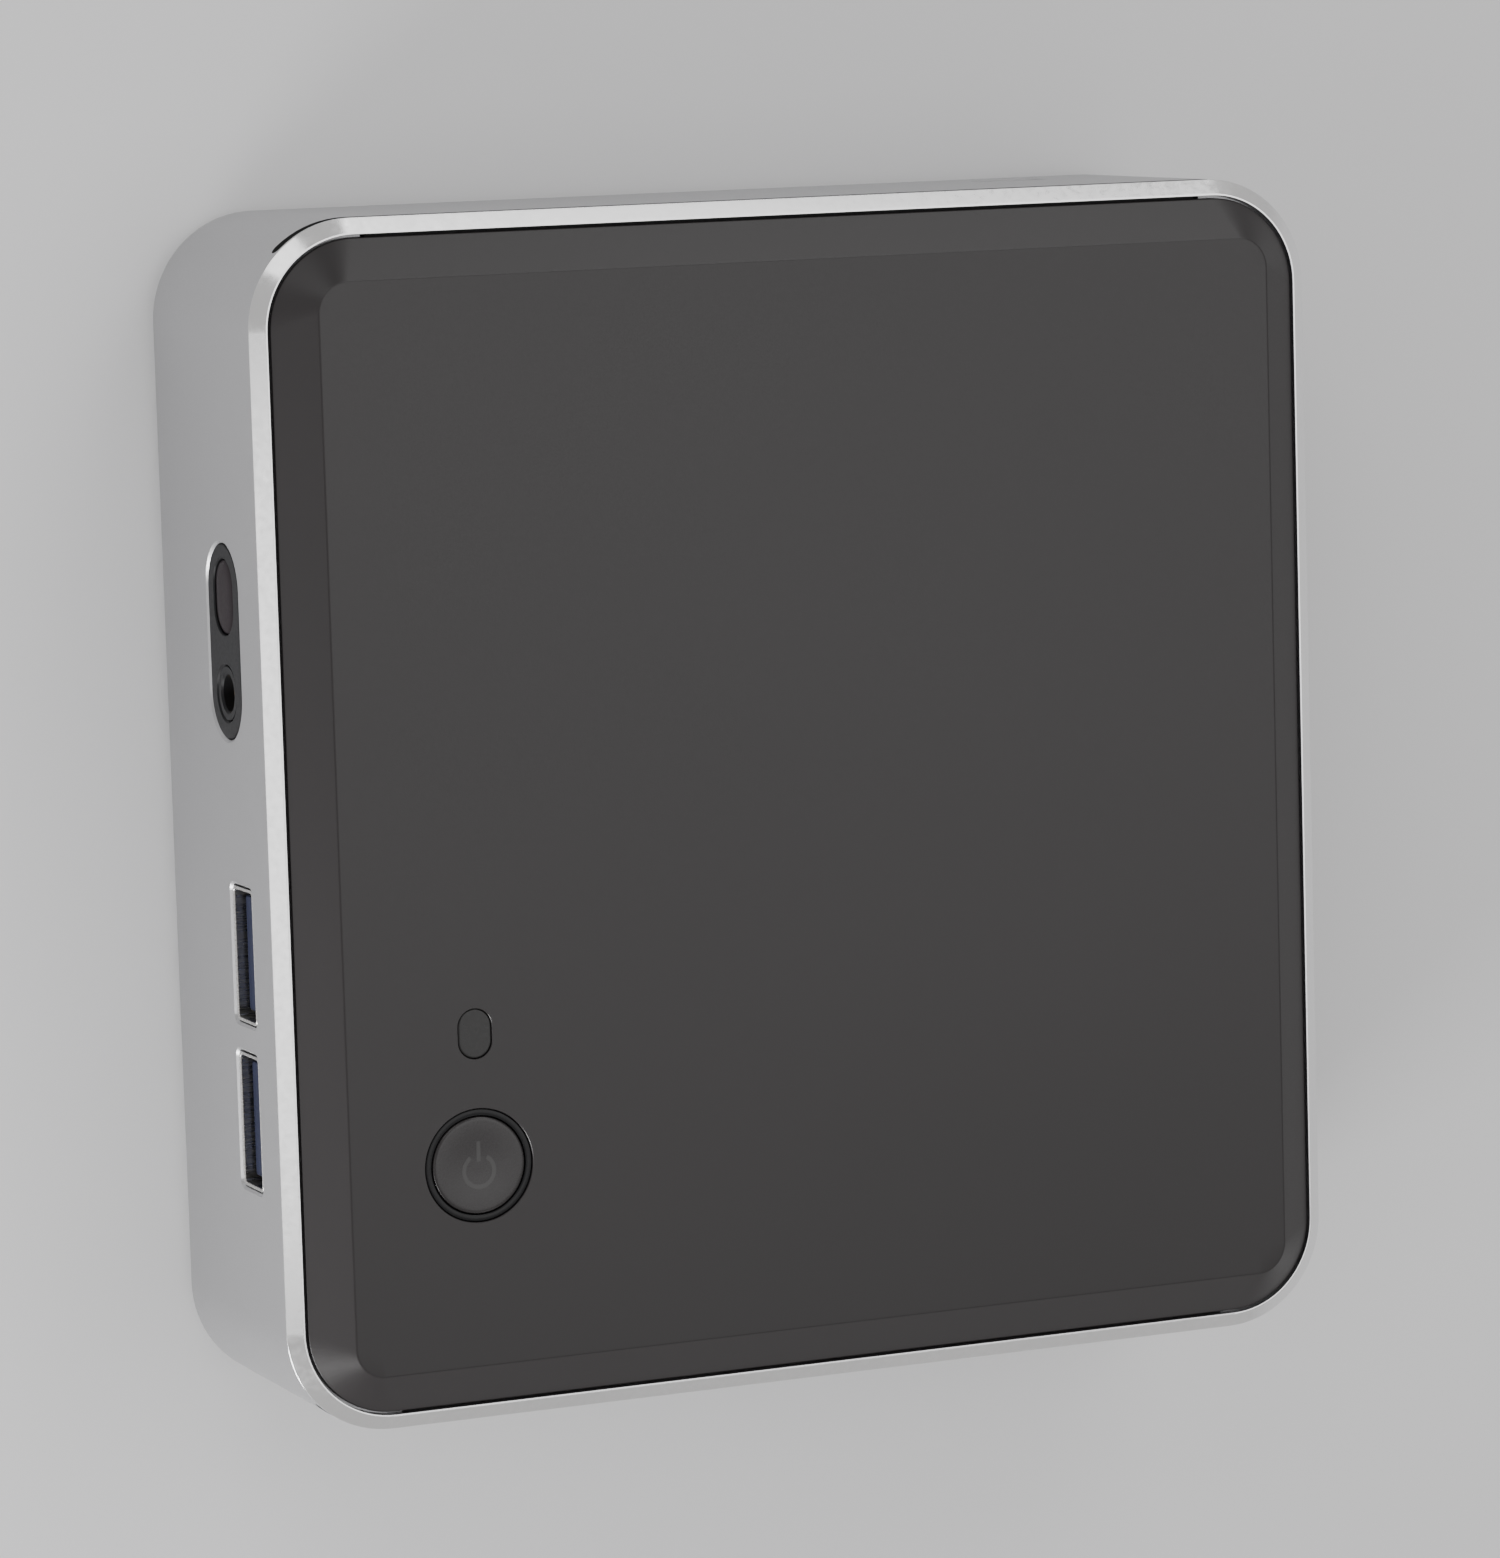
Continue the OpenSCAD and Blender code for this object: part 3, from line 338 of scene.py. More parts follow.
define("cell_steel", (0.72, 0.71, 0.66), 0.25, 1.0, tint=0.04, fine=2000, bump=0.03)
define("drive_lens", (0.017, 0.0165, 0.0165), 0.3, tint=0.05, bump=0.02, Specular_IOR_Level=0.4,
       name="smoked_lens")
define("floor", (0.78, 0.78, 0.79), 0.6, tint=0.01, patch=2, fine=400, bump=0.0)
define("symbol_print", (0.045, 0.044, 0.044), 0.35, tint=0.05, fine=5000, bump=0.03)
define("green_lens", (0.02, 0.2, 0.05), 0.15, tint=0.05, bump=0.01, Coat_Weight=0.5)
define("amber_lens", (0.45, 0.2, 0.02), 0.15, tint=0.05, bump=0.01, Coat_Weight=0.5)

# Boards, and the nodes that need zones of their own
MATERIALS["board_laminate"] = circuit_board("green_board", GREEN_MASK, GREEN_TRACE)
MATERIALS["card_laminate"] = circuit_board("blue_board", BLUE_MASK, BLUE_TRACE)
ZONES = {
    "memory_module_upper": (GREEN_MASK, GREEN_TRACE, [
        chips_below(MODULE_Z[0] - 0.5), fingers("Y", "LESS_THAN", MODULE_FINGERS_Y)]),
    "memory_module_lower": (GREEN_MASK, GREEN_TRACE, [
        chips_below(MODULE_Z[1] - 0.5), fingers("Y", "LESS_THAN", MODULE_FINGERS_Y)]),
    "storage_card": (BLUE_MASK, BLUE_TRACE, [
        chips_below(CARD_Z - 0.4), fingers("X", "GREATER_THAN", CARD_FINGERS_X)]),
    "radio_card": (BLUE_MASK, BLUE_TRACE, [
        ("Z", "LESS_THAN", CARD_Z - 0.4, (0.6, 0.6, 0.6), 0.35, 1.0),
        fingers("X", "GREATER_THAN", CARD_FINGERS_X)]),
    "processor": (SUBSTRATE, (0.035, 0.1, 0.07), [
        ("Z", "GREATER_THAN", DIE_Z, (0.12, 0.12, 0.14), 0.12, 0.6)]),
    "fan_cable": (BLACK, BLACK, [
        ("X", "GREATER_THAN", JACKET_X, (0.018, 0.018, 0.018), 0.45, 0.0),
        ("X", "GREATER_THAN", PLUG_X, (0.6, 0.58, 0.5), 0.4, 0.0)]),
}
for node, (mask, trace, zones) in ZONES.items():
    MATERIALS[node] = circuit_board(node, mask, trace, zones)
SLOTS = {part["node"]: part["material_slot"] for part in frame["record"]["subparts"]}


# ---- outlines, in millimetres

def arc(x, y, r, start, turn, steps):
    """Points of an arc round (x, y); angles are in degrees."""
    angles = [math.radians(start + turn * i / steps) for i in range(steps + 1)]
    return [(x + r * math.cos(a), y + r * math.sin(a)) for a in angles]


def rounded_rect(w, d, r, steps=20):
    """A rectangle with round corners, anticlockwise from its right side."""
    corners = ((1, 1), (-1, 1), (-1, -1), (1, -1))
    return [p for i, (sx, sy) in enumerate(corners)
            for p in arc(sx * (w / 2 - r), sy * (d / 2 - r), r, 90 * i, 90, steps)]


def pill(length, width, steps=24):
    """A bar with half-round ends, along the first axis."""
    reach = (length - width) / 2
    return arc(reach, 0, width / 2, -90, 180, steps) + arc(-reach, 0, width / 2, 90, 180, steps)


def circle(r, steps=96):
    return arc(0, 0, r, 0, 360, steps)[:-1]


def fillet(points, radii, steps=4, closed=True):
    """Rounds each corner of a polyline by its radius."""
    result = []
    for i, p in enumerate(points):
        r = radii[i]
        p = Vector(p)
        if r == 0 or (not closed and i in (0, len(points) - 1)):
            result.append(tuple(p))
            continue
        a = (Vector(points[i - 1]) - p).normalized()
        b = (Vector(points[(i + 1) % len(points)]) - p).normalized()
        half = a.angle(b) / 2
        center = p + (a + b).normalized() * (r / math.sin(half))
        start = p + a * (r / math.tan(half)) - center
        end = p + b * (r / math.tan(half)) - center
        sweep = start.angle_signed(end)
        result += [tuple(center + Matrix.Rotation(-sweep * k / steps, 2) @ start)
                   for k in range(steps + 1)]
    return result


def flat(outline, x, y, z):
    """Lays an outline flat, round (x, y) at height z."""
    return [(x + u, y + v, z) for u, v in outline]


def standing(outline, x, y, z):
    """Stands an outline up in the XZ plane, round (x, z) at depth y."""
    return [(x + u, y, z + v) for u, v in outline]


def bar_rings(width, height, r, steps, z, profile):
    """Standing rings of a rounded bar at height z, through the profile's (depth, grow) pairs."""
    return [standing(rounded_rect(width + 2 * g, height + 2 * g, r + g, steps), 0, v, z)
            for v, g in profile]


def cross(length, width):
    """Outline of a screw's cross recess."""
    a, b = length / 2, width / 2
    return [(a, -b), (a, b), (b, b), (b, a), (-b, a), (-b, b),
            (-a, b), (-a, -b), (-b, -b), (-b, -a), (b, -a), (b, -b)]


# ---- meshes

def skin(rings, closed=False):
    """Vertices and faces through rings of equal point counts, with end caps unless closed."""
    n, count = len(rings[0]), len(rings)
    faces = []
    for i in range(count if closed else count - 1):
        here, there = i * n, (i + 1) % count * n
        faces += [(here + k, here + (k + 1) % n, there + (k + 1) % n, there + k) for k in range(n)]
    if not closed:
        faces += [tuple(range(n - 1, -1, -1)), tuple(range((count - 1) * n, count * n))]
    return [p for ring in rings for p in ring], faces


def box_mesh(low, high):
    """Vertices and faces of a box."""
    (x0, y0, z0), (x1, y1, z1) = low, high
    return skin([[(x0, y0, z), (x1, y0, z), (x1, y1, z), (x0, y1, z)] for z in (z0, z1)])


def several(meshes):
    """Joins (vertices, faces) pairs into one."""
    vertices, faces = [], []
    for v, f in meshes:
        faces += [tuple(i + len(vertices) for i in face) for face in f]
        vertices += v
    return vertices, faces


def tidy(data, smooth_angle=35.0):
    """Outward normals, and smooth shading that stays sharp at real edges."""
    limit = math.radians(smooth_angle)
    work = bmesh.new()
    work.from_mesh(data)
    bmesh.ops.remove_doubles(work, verts=work.verts, dist=1e-8)
    bmesh.ops.recalc_face_normals(work, faces=work.faces)
    for face in work.faces:
        face.smooth = True
    for edge in work.edges:
        edge.smooth = len(edge.link_faces) == 2 and edge.calc_face_angle(0) < limit
    work.to_mesh(data)
    work.free()


def soften(data, width):
    """Rounds a mesh's sharp edges by width millimetres."""
    sharp_angle, same_plane = math.radians(32), math.radians(0.5)
    work = bmesh.new()
    work.from_mesh(data)
    bmesh.ops.remove_doubles(work, verts=work.verts, dist=1e-7)
    bmesh.ops.dissolve_limit(work, angle_limit=same_plane, verts=work.verts, edges=work.edges)
    sharp = [edge for edge in work.edges
             if len(edge.link_faces) == 2 and edge.calc_face_angle(0) > sharp_angle]
    bmesh.ops.bevel(work, geom=sharp, offset=width * MM, segments=2, profile=0.5, affect="EDGES",
                    clamp_overlap=True)
    work.to_mesh(data)
    work.free()
    tidy(data, 48.0)


def raw_mesh(name, geometry, materials, face_materials=None):
    """An object from millimetre geometry that rides on nothing yet."""
    vertices, faces = geometry
    data = bpy.data.meshes.new(name)
    data.from_pydata([Vector(v) * MM for v in vertices], [], faces)
    for material in materials:
        data.materials.append(MATERIALS[material])
    if face_materials:
        data.polygons.foreach_set("material_index", face_materials)
    tidy(data)
    made = bpy.data.objects.new(name, data)
    bpy.context.scene.collection.objects.link(made)
    return made


def tool(geometry, material):
    """A shape for cut(), which leaves its material on the faces that it makes."""
    return raw_mesh("tool", geometry, [material])


def cut(piece, tools, operation="DIFFERENCE"):
    """Takes tools away from a piece, or joins them to it, one after another, and removes them."""
    for shape in tools:
        step = piece.modifiers.new("cut", "BOOLEAN")
        step.operation = operation
        step.solver = "EXACT"
        step.material_mode = "TRANSFER"
        step.object = shape
        depsgraph = bpy.context.evaluated_depsgraph_get()
        result = bpy.data.meshes.new_from_object(piece.evaluated_get(depsgraph))
        piece.modifiers.clear()
        piece.data = result
        bpy.data.objects.remove(shape)
    tidy(piece.data)


def finish_piece(piece, replaces=(), body="case"):
    """Puts a piece on a body and the CAD nodes that it stands for."""
    shade = piece.modifiers.new("weighted", "WEIGHTED_NORMAL")
    shade.keep_sharp = True
    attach(piece, body)
    if replaces:
        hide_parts(*replaces)


def add_mesh(name, geometry, slot, replaces=(), body="case", bevel=0.0, material=None):
    """A visible piece, in its slot's material or another, its edges softened by bevel."""
    piece = raw_mesh(name, geometry, [material or slot])
    if bevel:
        soften(piece.data, bevel)
    finish_piece(piece, replaces, body)


# ---- helpers for sockets and holes

def swept(outline, profile, x, y, z, closed=False):
    """Carries outline(grow) along Y from (x, y, z), through (grow, distance) pairs."""
    return skin([standing(outline(grow), x, y + t, z) for grow, t in profile], closed)


def lathe(profile, x, y, steps=64, closed=False):
    """A shape turned round an upright axis; the profile is (radius, height)."""
    return skin([flat(circle(r, steps), x, y, z) for r, z in profile], closed)


def flared(outline, x, y, z, inward, depth, chamfer):
    """A cutter that enters a face at y, going inwards, and is wider by a chamfer at the face."""
    over = 0.1
    profile = [(chamfer + over, -inward * over), (0, inward * chamfer), (0, inward * depth)]
    return swept(outline, profile, x, y, z)


def turned(geometry, x, y, z, inward):
    """Puts a socket's shape, made with Y inwards from its mouth, in place in the front or rear."""
    vertices, faces = geometry
    return [(x + inward * u, y + inward * v, z + w) for u, v, w in vertices], faces


def ribbon(path, width, thickness):
    """A bent strip of metal along a path, which is its middle line; its width lies along X."""
    across = Vector((1, 0, 0))
    rings = []
    for i, p in enumerate(path):
        along = Vector(path[min(i + 1, len(path) - 1)]) - Vector(path[max(i - 1, 0)])
        up = along.cross(across).normalized() * thickness / 2
        side = across * width / 2
        corners = ((-1, -1), (1, -1), (1, 1), (-1, 1))
        rings.append([tuple(Vector(p) + s * side + n * up) for s, n in corners])
    return skin(rings)


def round_outline(width, height, r, shrink=0.0, steps=5):
    """A rounded rectangle's outline(grow), whose corner radius shrinks by shrink at most."""
    def outline(grow):
        return rounded_rect(width + 2 * grow, height + 2 * grow, r + max(grow, -shrink), steps)
    return outline


def pill_outline(length, width):
    return lambda grow: pill(length + 2 * grow, width + 2 * grow)


def circle_outline(r, steps=64):
    return lambda grow: circle(r + grow, steps)


def cut_corner_outline(mouth, corner):
    """Outline of a video socket: two corners cut on its lower side, all of them slightly round."""
    def outline(grow):
        w, h = mouth[0] / 2 + grow, mouth[1] / 2 + grow
        points = [(w, h), (-w, h), (-w, corner - h),
                  (corner - w, -h), (w - corner, -h), (w, corner - h)]
        return fillet(points, [0.3 + max(grow, -0.2)] * 6)
    return outline


def grown(outline, gap):
    """An outline(grow) that is larger by a gap all round."""
    return lambda grow: outline(grow + gap)


usb_outline = round_outline(*USB_MOUTH, 0.3, 0.2)
hdmi_outline = cut_corner_outline((14, 4.6), 2.0)
dp_outline = cut_corner_outline((7.5, 4.6), 1.4)


# ---- case

def vent_cutter(side):
    """The slot under the rim: through the wall along the side, then a groove round each corner.

    It ends half-way round the corner, with a round end.
    """
    half, z = (VENT_HIGH - VENT_LOW) / 2, (VENT_HIGH + VENT_LOW) / 2
    middle_x, middle_y = CASE_W / 2 - CORNER_R, CASE_D / 2 - CORNER_R
    groove, through = CORNER_R - 0.9, CORNER_R - WALL - 2.5
    end_angle = 45
    round_end = math.degrees(half / CORNER_R)

    def ring(y, angle, inner, h):
        c, s = math.cos(math.radians(angle)), math.sin(math.radians(angle))
        corners = ((CORNER_R + 1, -h), (CORNER_R + 1, h), (inner, h), (inner, -h))
        return [(side * (middle_x + r * c), y + r * s, z + v) for r, v in corners]

    corner = [((end_angle - round_end) * i / 16, half) for i in range(16)]
    for i in range(9):
        turn = math.pi / 2 * i / 8
        angle = end_angle - round_end * (1 - math.sin(turn))
        corner.append((angle, half * max(math.cos(turn), 0.06)))
    run, step = VENT_RUN, 0.3
    straight = ((-run - step, groove), (-run, through), (run, through), (run + step, groove))
    rings = [ring(-middle_y, -angle, groove, h) for angle, h in reversed(corner)]
    rings += [ring(y, 0, inner, half) for y, inner in straight]
    rings += [ring(middle_y, angle, groove, h) for angle, h in corner]
    return skin(rings)


def case_shell():
    """The case's wall, shelf and chamfers, carried round its outline."""
    foot, rim_w, rim_h, under_shelf = 0.7, 1.4, 1.0, LEDGE_Z - 0.8
    profile = [(foot, CASE_Z), (0, CASE_Z + foot), (0, RIM_Z - rim_h), (rim_w, RIM_Z),
               (WALL, RIM_Z), (WALL, LEDGE_Z), (WALL + SHELF, LEDGE_Z), (WALL + SHELF, under_shelf),
               (WALL, under_shelf - SHELF), (WALL, CASE_Z)]
    points = fillet(profile, [0.12, 0.12, 0.1, 0.06, 0.06, 0, 0.1, 0.1, 0, 0.1])
    rings = [flat(rounded_rect(CASE_W - 2 * a, CASE_D - 2 * a, CORNER_R - a), 0, 0, z)
             for a, z in points]
    polished = []
    for (a, z), (next_a, next_z) in zip(points, points[1:] + points[:1]):
        mid_a, mid_z = (a + next_a) / 2, (z + next_z) / 2
        on_rim = mid_a < rim_w + 0.15 and mid_z > RIM_Z - rim_h
        on_foot = mid_a < foot and mid_z < CASE_Z + foot
        polished += [int(on_rim or on_foot)] * len(rings[0])
    return raw_mesh("case", skin(rings, closed=True), ["case_aluminium", "polished"], polished)


def post_web(x, y):
    """The thin web from the post at (x, y) to the inside of the case's corner."""
    out = Vector((math.copysign(CASE_W / 2 - CORNER_R, x) - x,
                  math.copysign(CASE_D / 2 - CORNER_R, y) - y))
    reach = out.length + CORNER_R - WALL / 2
    out = out.normalized()
    side = Vector((-out.y, out.x))
    corners = [Vector((x, y)) + out * a + side * b
               for a, b in ((2, -1), (reach, -1), (reach, 1), (2, 1))]
    return skin([[(p.x, p.y, z) for p in corners] for z in (POST_LOW, POST_LOW + 10)])


def front_openings():
    """The openings in the case's front for the oblong insert and the two sockets."""
    depth, chamfer, usb_gap = WALL + 2, 0.25, 0.5
    holes = [flared(pill_outline(19, 9), BEZEL.x, FRONT_Y, BEZEL.z, 1, depth, chamfer)]
    for x in FRONT_USB_X:
        holes.append(flared(grown(usb_outline, usb_gap), x, FRONT_Y, USB_Z, 1, depth, chamfer))
    return holes


def lock_opening():
    """The security slot in the left wall, wider at the face."""
    return skin([[(case_low.x + depth, LOCK.y + u, LOCK.z + v)
                  for u, v in round_outline(7, 3, 0.5, 0.5)(grow)]
                 for depth, grow in ((-1, 1.3), (0.3, 0), (WALL + 1, 0))])


def make_case():
    case = case_shell()
    edge = 0.3
    post = [(POST_R - edge, POST_LOW), (POST_R, POST_LOW + edge),
            (POST_R, BOARD_Z - edge), (POST_R - edge, BOARD_Z)]
    posts = several([lathe(post, x, y, 48) for x, y in POSTS])
    webs = several([post_web(x, y) for x, y in POSTS])
    cut(case, [tool(posts, "case_aluminium"), tool(webs, "case_aluminium")], "UNION")

    cover_threads = several([lathe([(1.3, 3), (1.3, 11.5)], x, y, 32) for x, y in POSTS])
    board_threads = several([lathe([(1.1, 14), (1.1, 19)], x, y, 32) for x, y in POSTS])
    panel_opening = box_mesh((-REAR_HALF, REAR_Y - WALL - 1, REAR_LOW),
                             (REAR_HALF, REAR_Y + 1, REAR_HIGH))
    inner, outer = CASE_W / 2 - WALL - 3, CASE_W / 2 - WALL + 0.02
    shelf_gaps = several([box_mesh((low, -VENT_RUN, VENT_LOW - 1.2), (high, VENT_RUN, VENT_LOW + 2))
                          for low, high in ((-outer, -inner), (inner, outer))])
    shapes = (cover_threads, board_threads, several(front_openings() + [lock_opening()]),
              panel_opening, shelf_gaps)
    # The vent slots' and corner grooves' cut faces take the black vent plastic: painted shade, so
    # they read dark as in shadow.
    vents_painted_shade = tool(several([vent_cutter(-1), vent_cutter(1)]), "vent_plastic")
    cut(case, [tool(shape, "case_aluminium") for shape in shapes] + [vents_painted_shade])
    finish_piece(case, ["chassis"])


# ---- bottom cover, feet and screws

def make_bottom():
    play = 0.2
    w, d, r = CASE_W - 2 * WALL - 2 * play, CASE_D - 2 * WALL - 2 * play, CORNER_R - WALL - play
    low, top, above = 1.5, 3.5, 4
    edge = fillet([(2, low), (0, low), (0, top), (2, top)], [0, 0.25, 0.25, 0], closed=False)
    cover = raw_mesh("bottom", skin([flat(rounded_rect(w - 2 * a, d - 2 * a, r - a), 0, 0, z)
                                     for a, z in edge]), ["bottom_paint"])
    panel = skin([flat(rounded_rect(w - 34 + 2 * a, d - 8 + 2 * a, 5 + a), 0, 0, z)
                  for a, z in ((1.4, low - 1), (0.4, low), (0, low + 0.4))])
    foot_seat = [(7, low - 0.7), (6, low + 0.3), (6, 2.5), (1.7, 2.5), (1.7, above)]
    holes = [lathe(foot_seat, x, y) for x, y in POSTS]
    holes += [lathe([(2.4, low - 1), (2.4, above)], x, 0, 48) for x in (-INSERT_X, INSERT_X)]
    slot = [([(v, u) for u, v in pill(18 + 2 * g, 1.6 + 2 * g, 8)], z)
            for g, z in ((0.8, low - 0.2), (0, low + 0.6), (0, 4.5))]
    slots = [skin([flat(outline, i * 4, y, z) for outline, z in slot])
             for y in (-18, 18) for i in range(-7, 8)]
    cut(cover, [tool(shape, "bottom_paint") for shape in (panel, several(holes), several(slots))])
    finish_piece(cover, ["bottom_cover"])


def make_feet():
    foot = fillet([(5.3, 0), (FOOT_R, 0.6), (FOOT_R, 2.5), (1.7, 2.5), (1.7, 1.2), (3.2, 1.2),
                   (3.2, 0)], [0.2, 0.3, 0, 0, 0, 0, 0.25])
    add_mesh("rubber_feet", several([lathe(foot, x, y, closed=True) for x, y in POSTS]),
             "foot_rubber", ["feet"])


def make_cover_screws():
    head = fillet([(0.6, 0.2), (2.9, 0.2), (2.9, 1.2), (1.2, 1.2)], [0, 0.35, 0.1, 0], closed=False)
    pitch, turns, core, crest = 0.5, 18, 0.95, 1.2
    thread = [(r, 1.5 + pitch * i + rise) for i in range(turns)
              for r, rise in ((crest, 0), (crest, 0.1), (core, 0.25), (core, 0.35))]
    tip = [(1.0, 10.6), (0.5, 10.8)]
    screws = raw_mesh("captive_screws", several([lathe(head + thread + tip, x, y, 40)
                                                 for x, y in POSTS]), ["screw_steel"])
    recess = ((3.5, 0.8, 0.1), (1.7, 0.45, 0.9))
    drives = several([skin([flat(cross(length, width), x, y, z) for length, width, z in recess])
                      for x, y in POSTS])
    cut(screws, [tool(drives, "screw_steel")])
    finish_piece(screws, ["cover_screws"])


def make_bracket_inserts():
    pitch, turns, core, crest = 0.6, 6, 1.7, 1.5
    thread = [(r, 5.9 - pitch * i - drop) for i in range(turns)
              for r, drop in ((crest, 0), (crest, 0.15), (core, 0.3), (core, 0.4))]
    body = [(2.0, 1.9), (2.3, 2.1), (2.3, 3.5), (3.3, 3.5), (INSERT_R, 3.6), (INSERT_R, 4.2),
            (3.3, 4.3), (2.3, 4.3), (2.3, 6.4), (2.2, 6.5), (1.8, 6.5), (1.5, 6.2)]
    profile = body + thread + [(1.5, 2.2), (1.8, 1.9)]
    add_mesh("threaded_inserts", several([lathe(profile, x, 0, 48, closed=True)
                                          for x in (-INSERT_X, INSERT_X)]),
             "insert_brass", ["mount_inserts"])


# ---- top cover, button and lights

def make_top_cover():
    skirt, flat_z, inner_z = 2.2, RIM_Z - 0.1, LID_TOP - LID_T
    profile = [(skirt + BEVEL_W + 1, inner_z), (skirt + BEVEL_W - 1, inner_z), (skirt, flat_z),
               (skirt, LEDGE_Z), (0, LEDGE_Z), (0, flat_z), (BEVEL_W, LID_TOP),
               (BEVEL_W + 2, LID_TOP)]
    points = fillet(profile, [0, 0.5, 0.3, 0.1, 0.1, 0.3, 0.5, 0], closed=False)
    rings, outside = [], False
    for a, z in points:
        outside = outside or a < skirt / 2
        # outside, the corners tighten along the border to the flat's own radius
        r = LID_R - a * (LID_R - FLAT_R) / BEVEL_W if outside else LID_R - a
        rings.append(flat(rounded_rect(LID_W - 2 * a, LID_D - 2 * a, max(r, 0.5)), 0, 0, z))
    cover = raw_mesh("lid", skin(rings), ["cover_plastic"])

    root, tip = LID_D / 2 - skirt, LID_D / 2 - skirt + 1.7
    neck = root + 0.9
    hook = [(root, LEDGE_Z + 0.8), (root, LEDGE_Z - 2.9), (neck, LEDGE_Z - 2.9),
            (tip, LEDGE_Z - 2.5), (tip, LEDGE_Z - 2.3), (neck, LEDGE_Z - 2.3),
            (neck, LEDGE_Z + 0.8)]
    clips = [skin([[(x + u, end * y, z) for y, z in hook] for u in (-2.5, 2.5)])
             for end in (-1, 1) for x in (-38, 0, 38)]
    cut(cover, [tool(several(clips), "cover_plastic")], "UNION")

    hole_r, below, above = RING_R + 0.05, inner_z - 1, LID_TOP + 0.1
    button_hole = lathe([(hole_r, below), (hole_r, LID_TOP - 0.06), (hole_r + 0.16, above)],
                        BUTTON.x, BUTTON.y, 96)
    light_hole = skin([flat(pill_outline(4.9, 3.5)(g), DRIVE_LIGHT.x, DRIVE_LIGHT.y, z)
                       for g, z in ((0, below), (0, LID_TOP - 0.05), (0.15, above))])
    cut(cover, [tool(several([button_hole, light_hole]), "cover_plastic")])
    finish_piece(cover, ["top_cover"])


def make_button():
    low, high = box_mm("power_button")
    cap_r, stem_r, top = RING_R - 0.75, 1.4, high.z
    shoulder = LID_TOP - LID_T - 1.6
    dish_r, dish_depth = 4.2, 0.12

    def dish(r):
        return top - dish_depth * (1 - min(r / dish_r, 1) ** 2) ** 2

    profile = fillet([(1.1, low.z), (stem_r, low.z + 0.3), (stem_r, shoulder), (cap_r, shoulder),
                      (cap_r, top), (4.3, top)], [0, 0, 0.3, 0.15, 0.3, 0], closed=False)
    profile += [(r, dish(r)) for r in (4.0, 3.6, 3.1, 2.6, 2.1, 1.6, 1.1, 0.6)]
    add_mesh("button_cap", lathe(profile, BUTTON.x, BUTTON.y, 96), "button_plastic",
             ["power_button"], "power_button")

    def line(path):
        """A printed line on the dished cap, along a path round the cap's middle."""
        width, sunk, proud = 0.42, -0.06, 0.02
        rings = []
        for i, p in enumerate(path):
            along = Vector(path[min(i + 1, len(path) - 1)]) - Vector(path[max(i - 1, 0)])
            along = along.normalized()
            side = Vector((-along.y, along.x)) * width / 2
            edges = (Vector(p) - side, Vector(p) + side)
            ring = [(q, sunk) for q in edges] + [(q, proud) for q in reversed(edges)]
            rings.append([(BUTTON.x + q.x, BUTTON.y + q.y, dish(q.length) + h) for q, h in ring])
        return skin(rings)

    # a plain power symbol: an open circle, and a bar in its gap
    gap = 64
    open_circle = arc(0.55, 0, 1.55, 180 + gap / 2, 360 - gap, 40)
    bar = [(-0.35 - 0.25 * i, 0) for i in range(9)]
    add_mesh("button_symbol", several([line(open_circle), line(bar)]), "button_plastic",
             body="power_button", material="symbol_print")


def make_lights():
    low, high = box_mm("power_light_ring")
    inner, base = RING_R - 0.68, LID_TOP - LID_T - 1.5
    profile = fillet([(inner, base), (RING_R, base), (RING_R, high.z), (inner, high.z)],
                     [0.1, 0.1, 0.15, 0.15], 3)
    leg = box_mesh((BUTTON.x - 0.8, BUTTON.y + inner + 0.1, low.z),
                   (BUTTON.x + 0.8, BUTTON.y + inner + 0.5, base + 0.1))
    ring = lathe(profile, BUTTON.x, BUTTON.y, 96, closed=True)
    add_mesh("light_ring", several([ring, leg]), "light_pipe", ["power_light_ring"])

    low, high = box_mm("drive_light_pipe")
    neck = LID_TOP - LID_T - 0.6
    rings = [flat(pill(length, width), DRIVE_LIGHT.x, DRIVE_LIGHT.y, z) for length, width, z in (
        (2.0, 2.0, low.z), (2.2, 2.2, low.z + 0.2), (2.2, 2.2, neck),
        (4.4, 3.0, neck), (4.8, 3.4, neck + 0.2), (4.8, 3.4, high.z - 0.16),
        (4.74, 3.34, high.z - 0.06), (4.6, 3.2, high.z - 0.01), (4.4, 3.0, high.z))]
    add_mesh("drive_light", skin(rings), "light_pipe", ["drive_light_pipe"], material="drive_lens")


# ---- front insert

def make_front_insert():
    front = box_mm("front_bezel")[0].y
    face = fillet([(-2, 0), (0, 0), (0, 1.6), (0.9, 1.6), (0.9, 2.4), (-2, 2.4)],
                  [0, 0.15, 0, 0.1, 0.1, 0], closed=False)
    bezel = raw_mesh("front_insert", swept(pill_outline(18.8, 8.8), face, BEZEL.x, front, BEZEL.z),
                     ["bezel_plastic"])
    jack_hole = flared(circle_outline(2.7), JACK.x, front, BEZEL.z, 1, 4, 0.2)
    window_hole = flared(pill_outline(7.4, 5.4), WINDOW.x, front, BEZEL.z, 1, 4, 0.12)
    cut(bezel, [tool(several([jack_hole, window_hole]), "bezel_plastic")])
    finish_piece(bezel, ["front_bezel"])

    front = box_mm("ir_window")[0].y
    dome = [(-1.6, 0), (-1.0, 0.02), (-0.5, 0.06), (-0.2, 0.12), (-0.06, 0.2), (0, 0.34),
            (0, 1.7), (-0.1, 1.8)]
    add_mesh("infrared_window", swept(pill_outline(7.2, 5.2), dome, WINDOW.x, front, WINDOW.z),
             "ir_plastic", ["ir_window"])


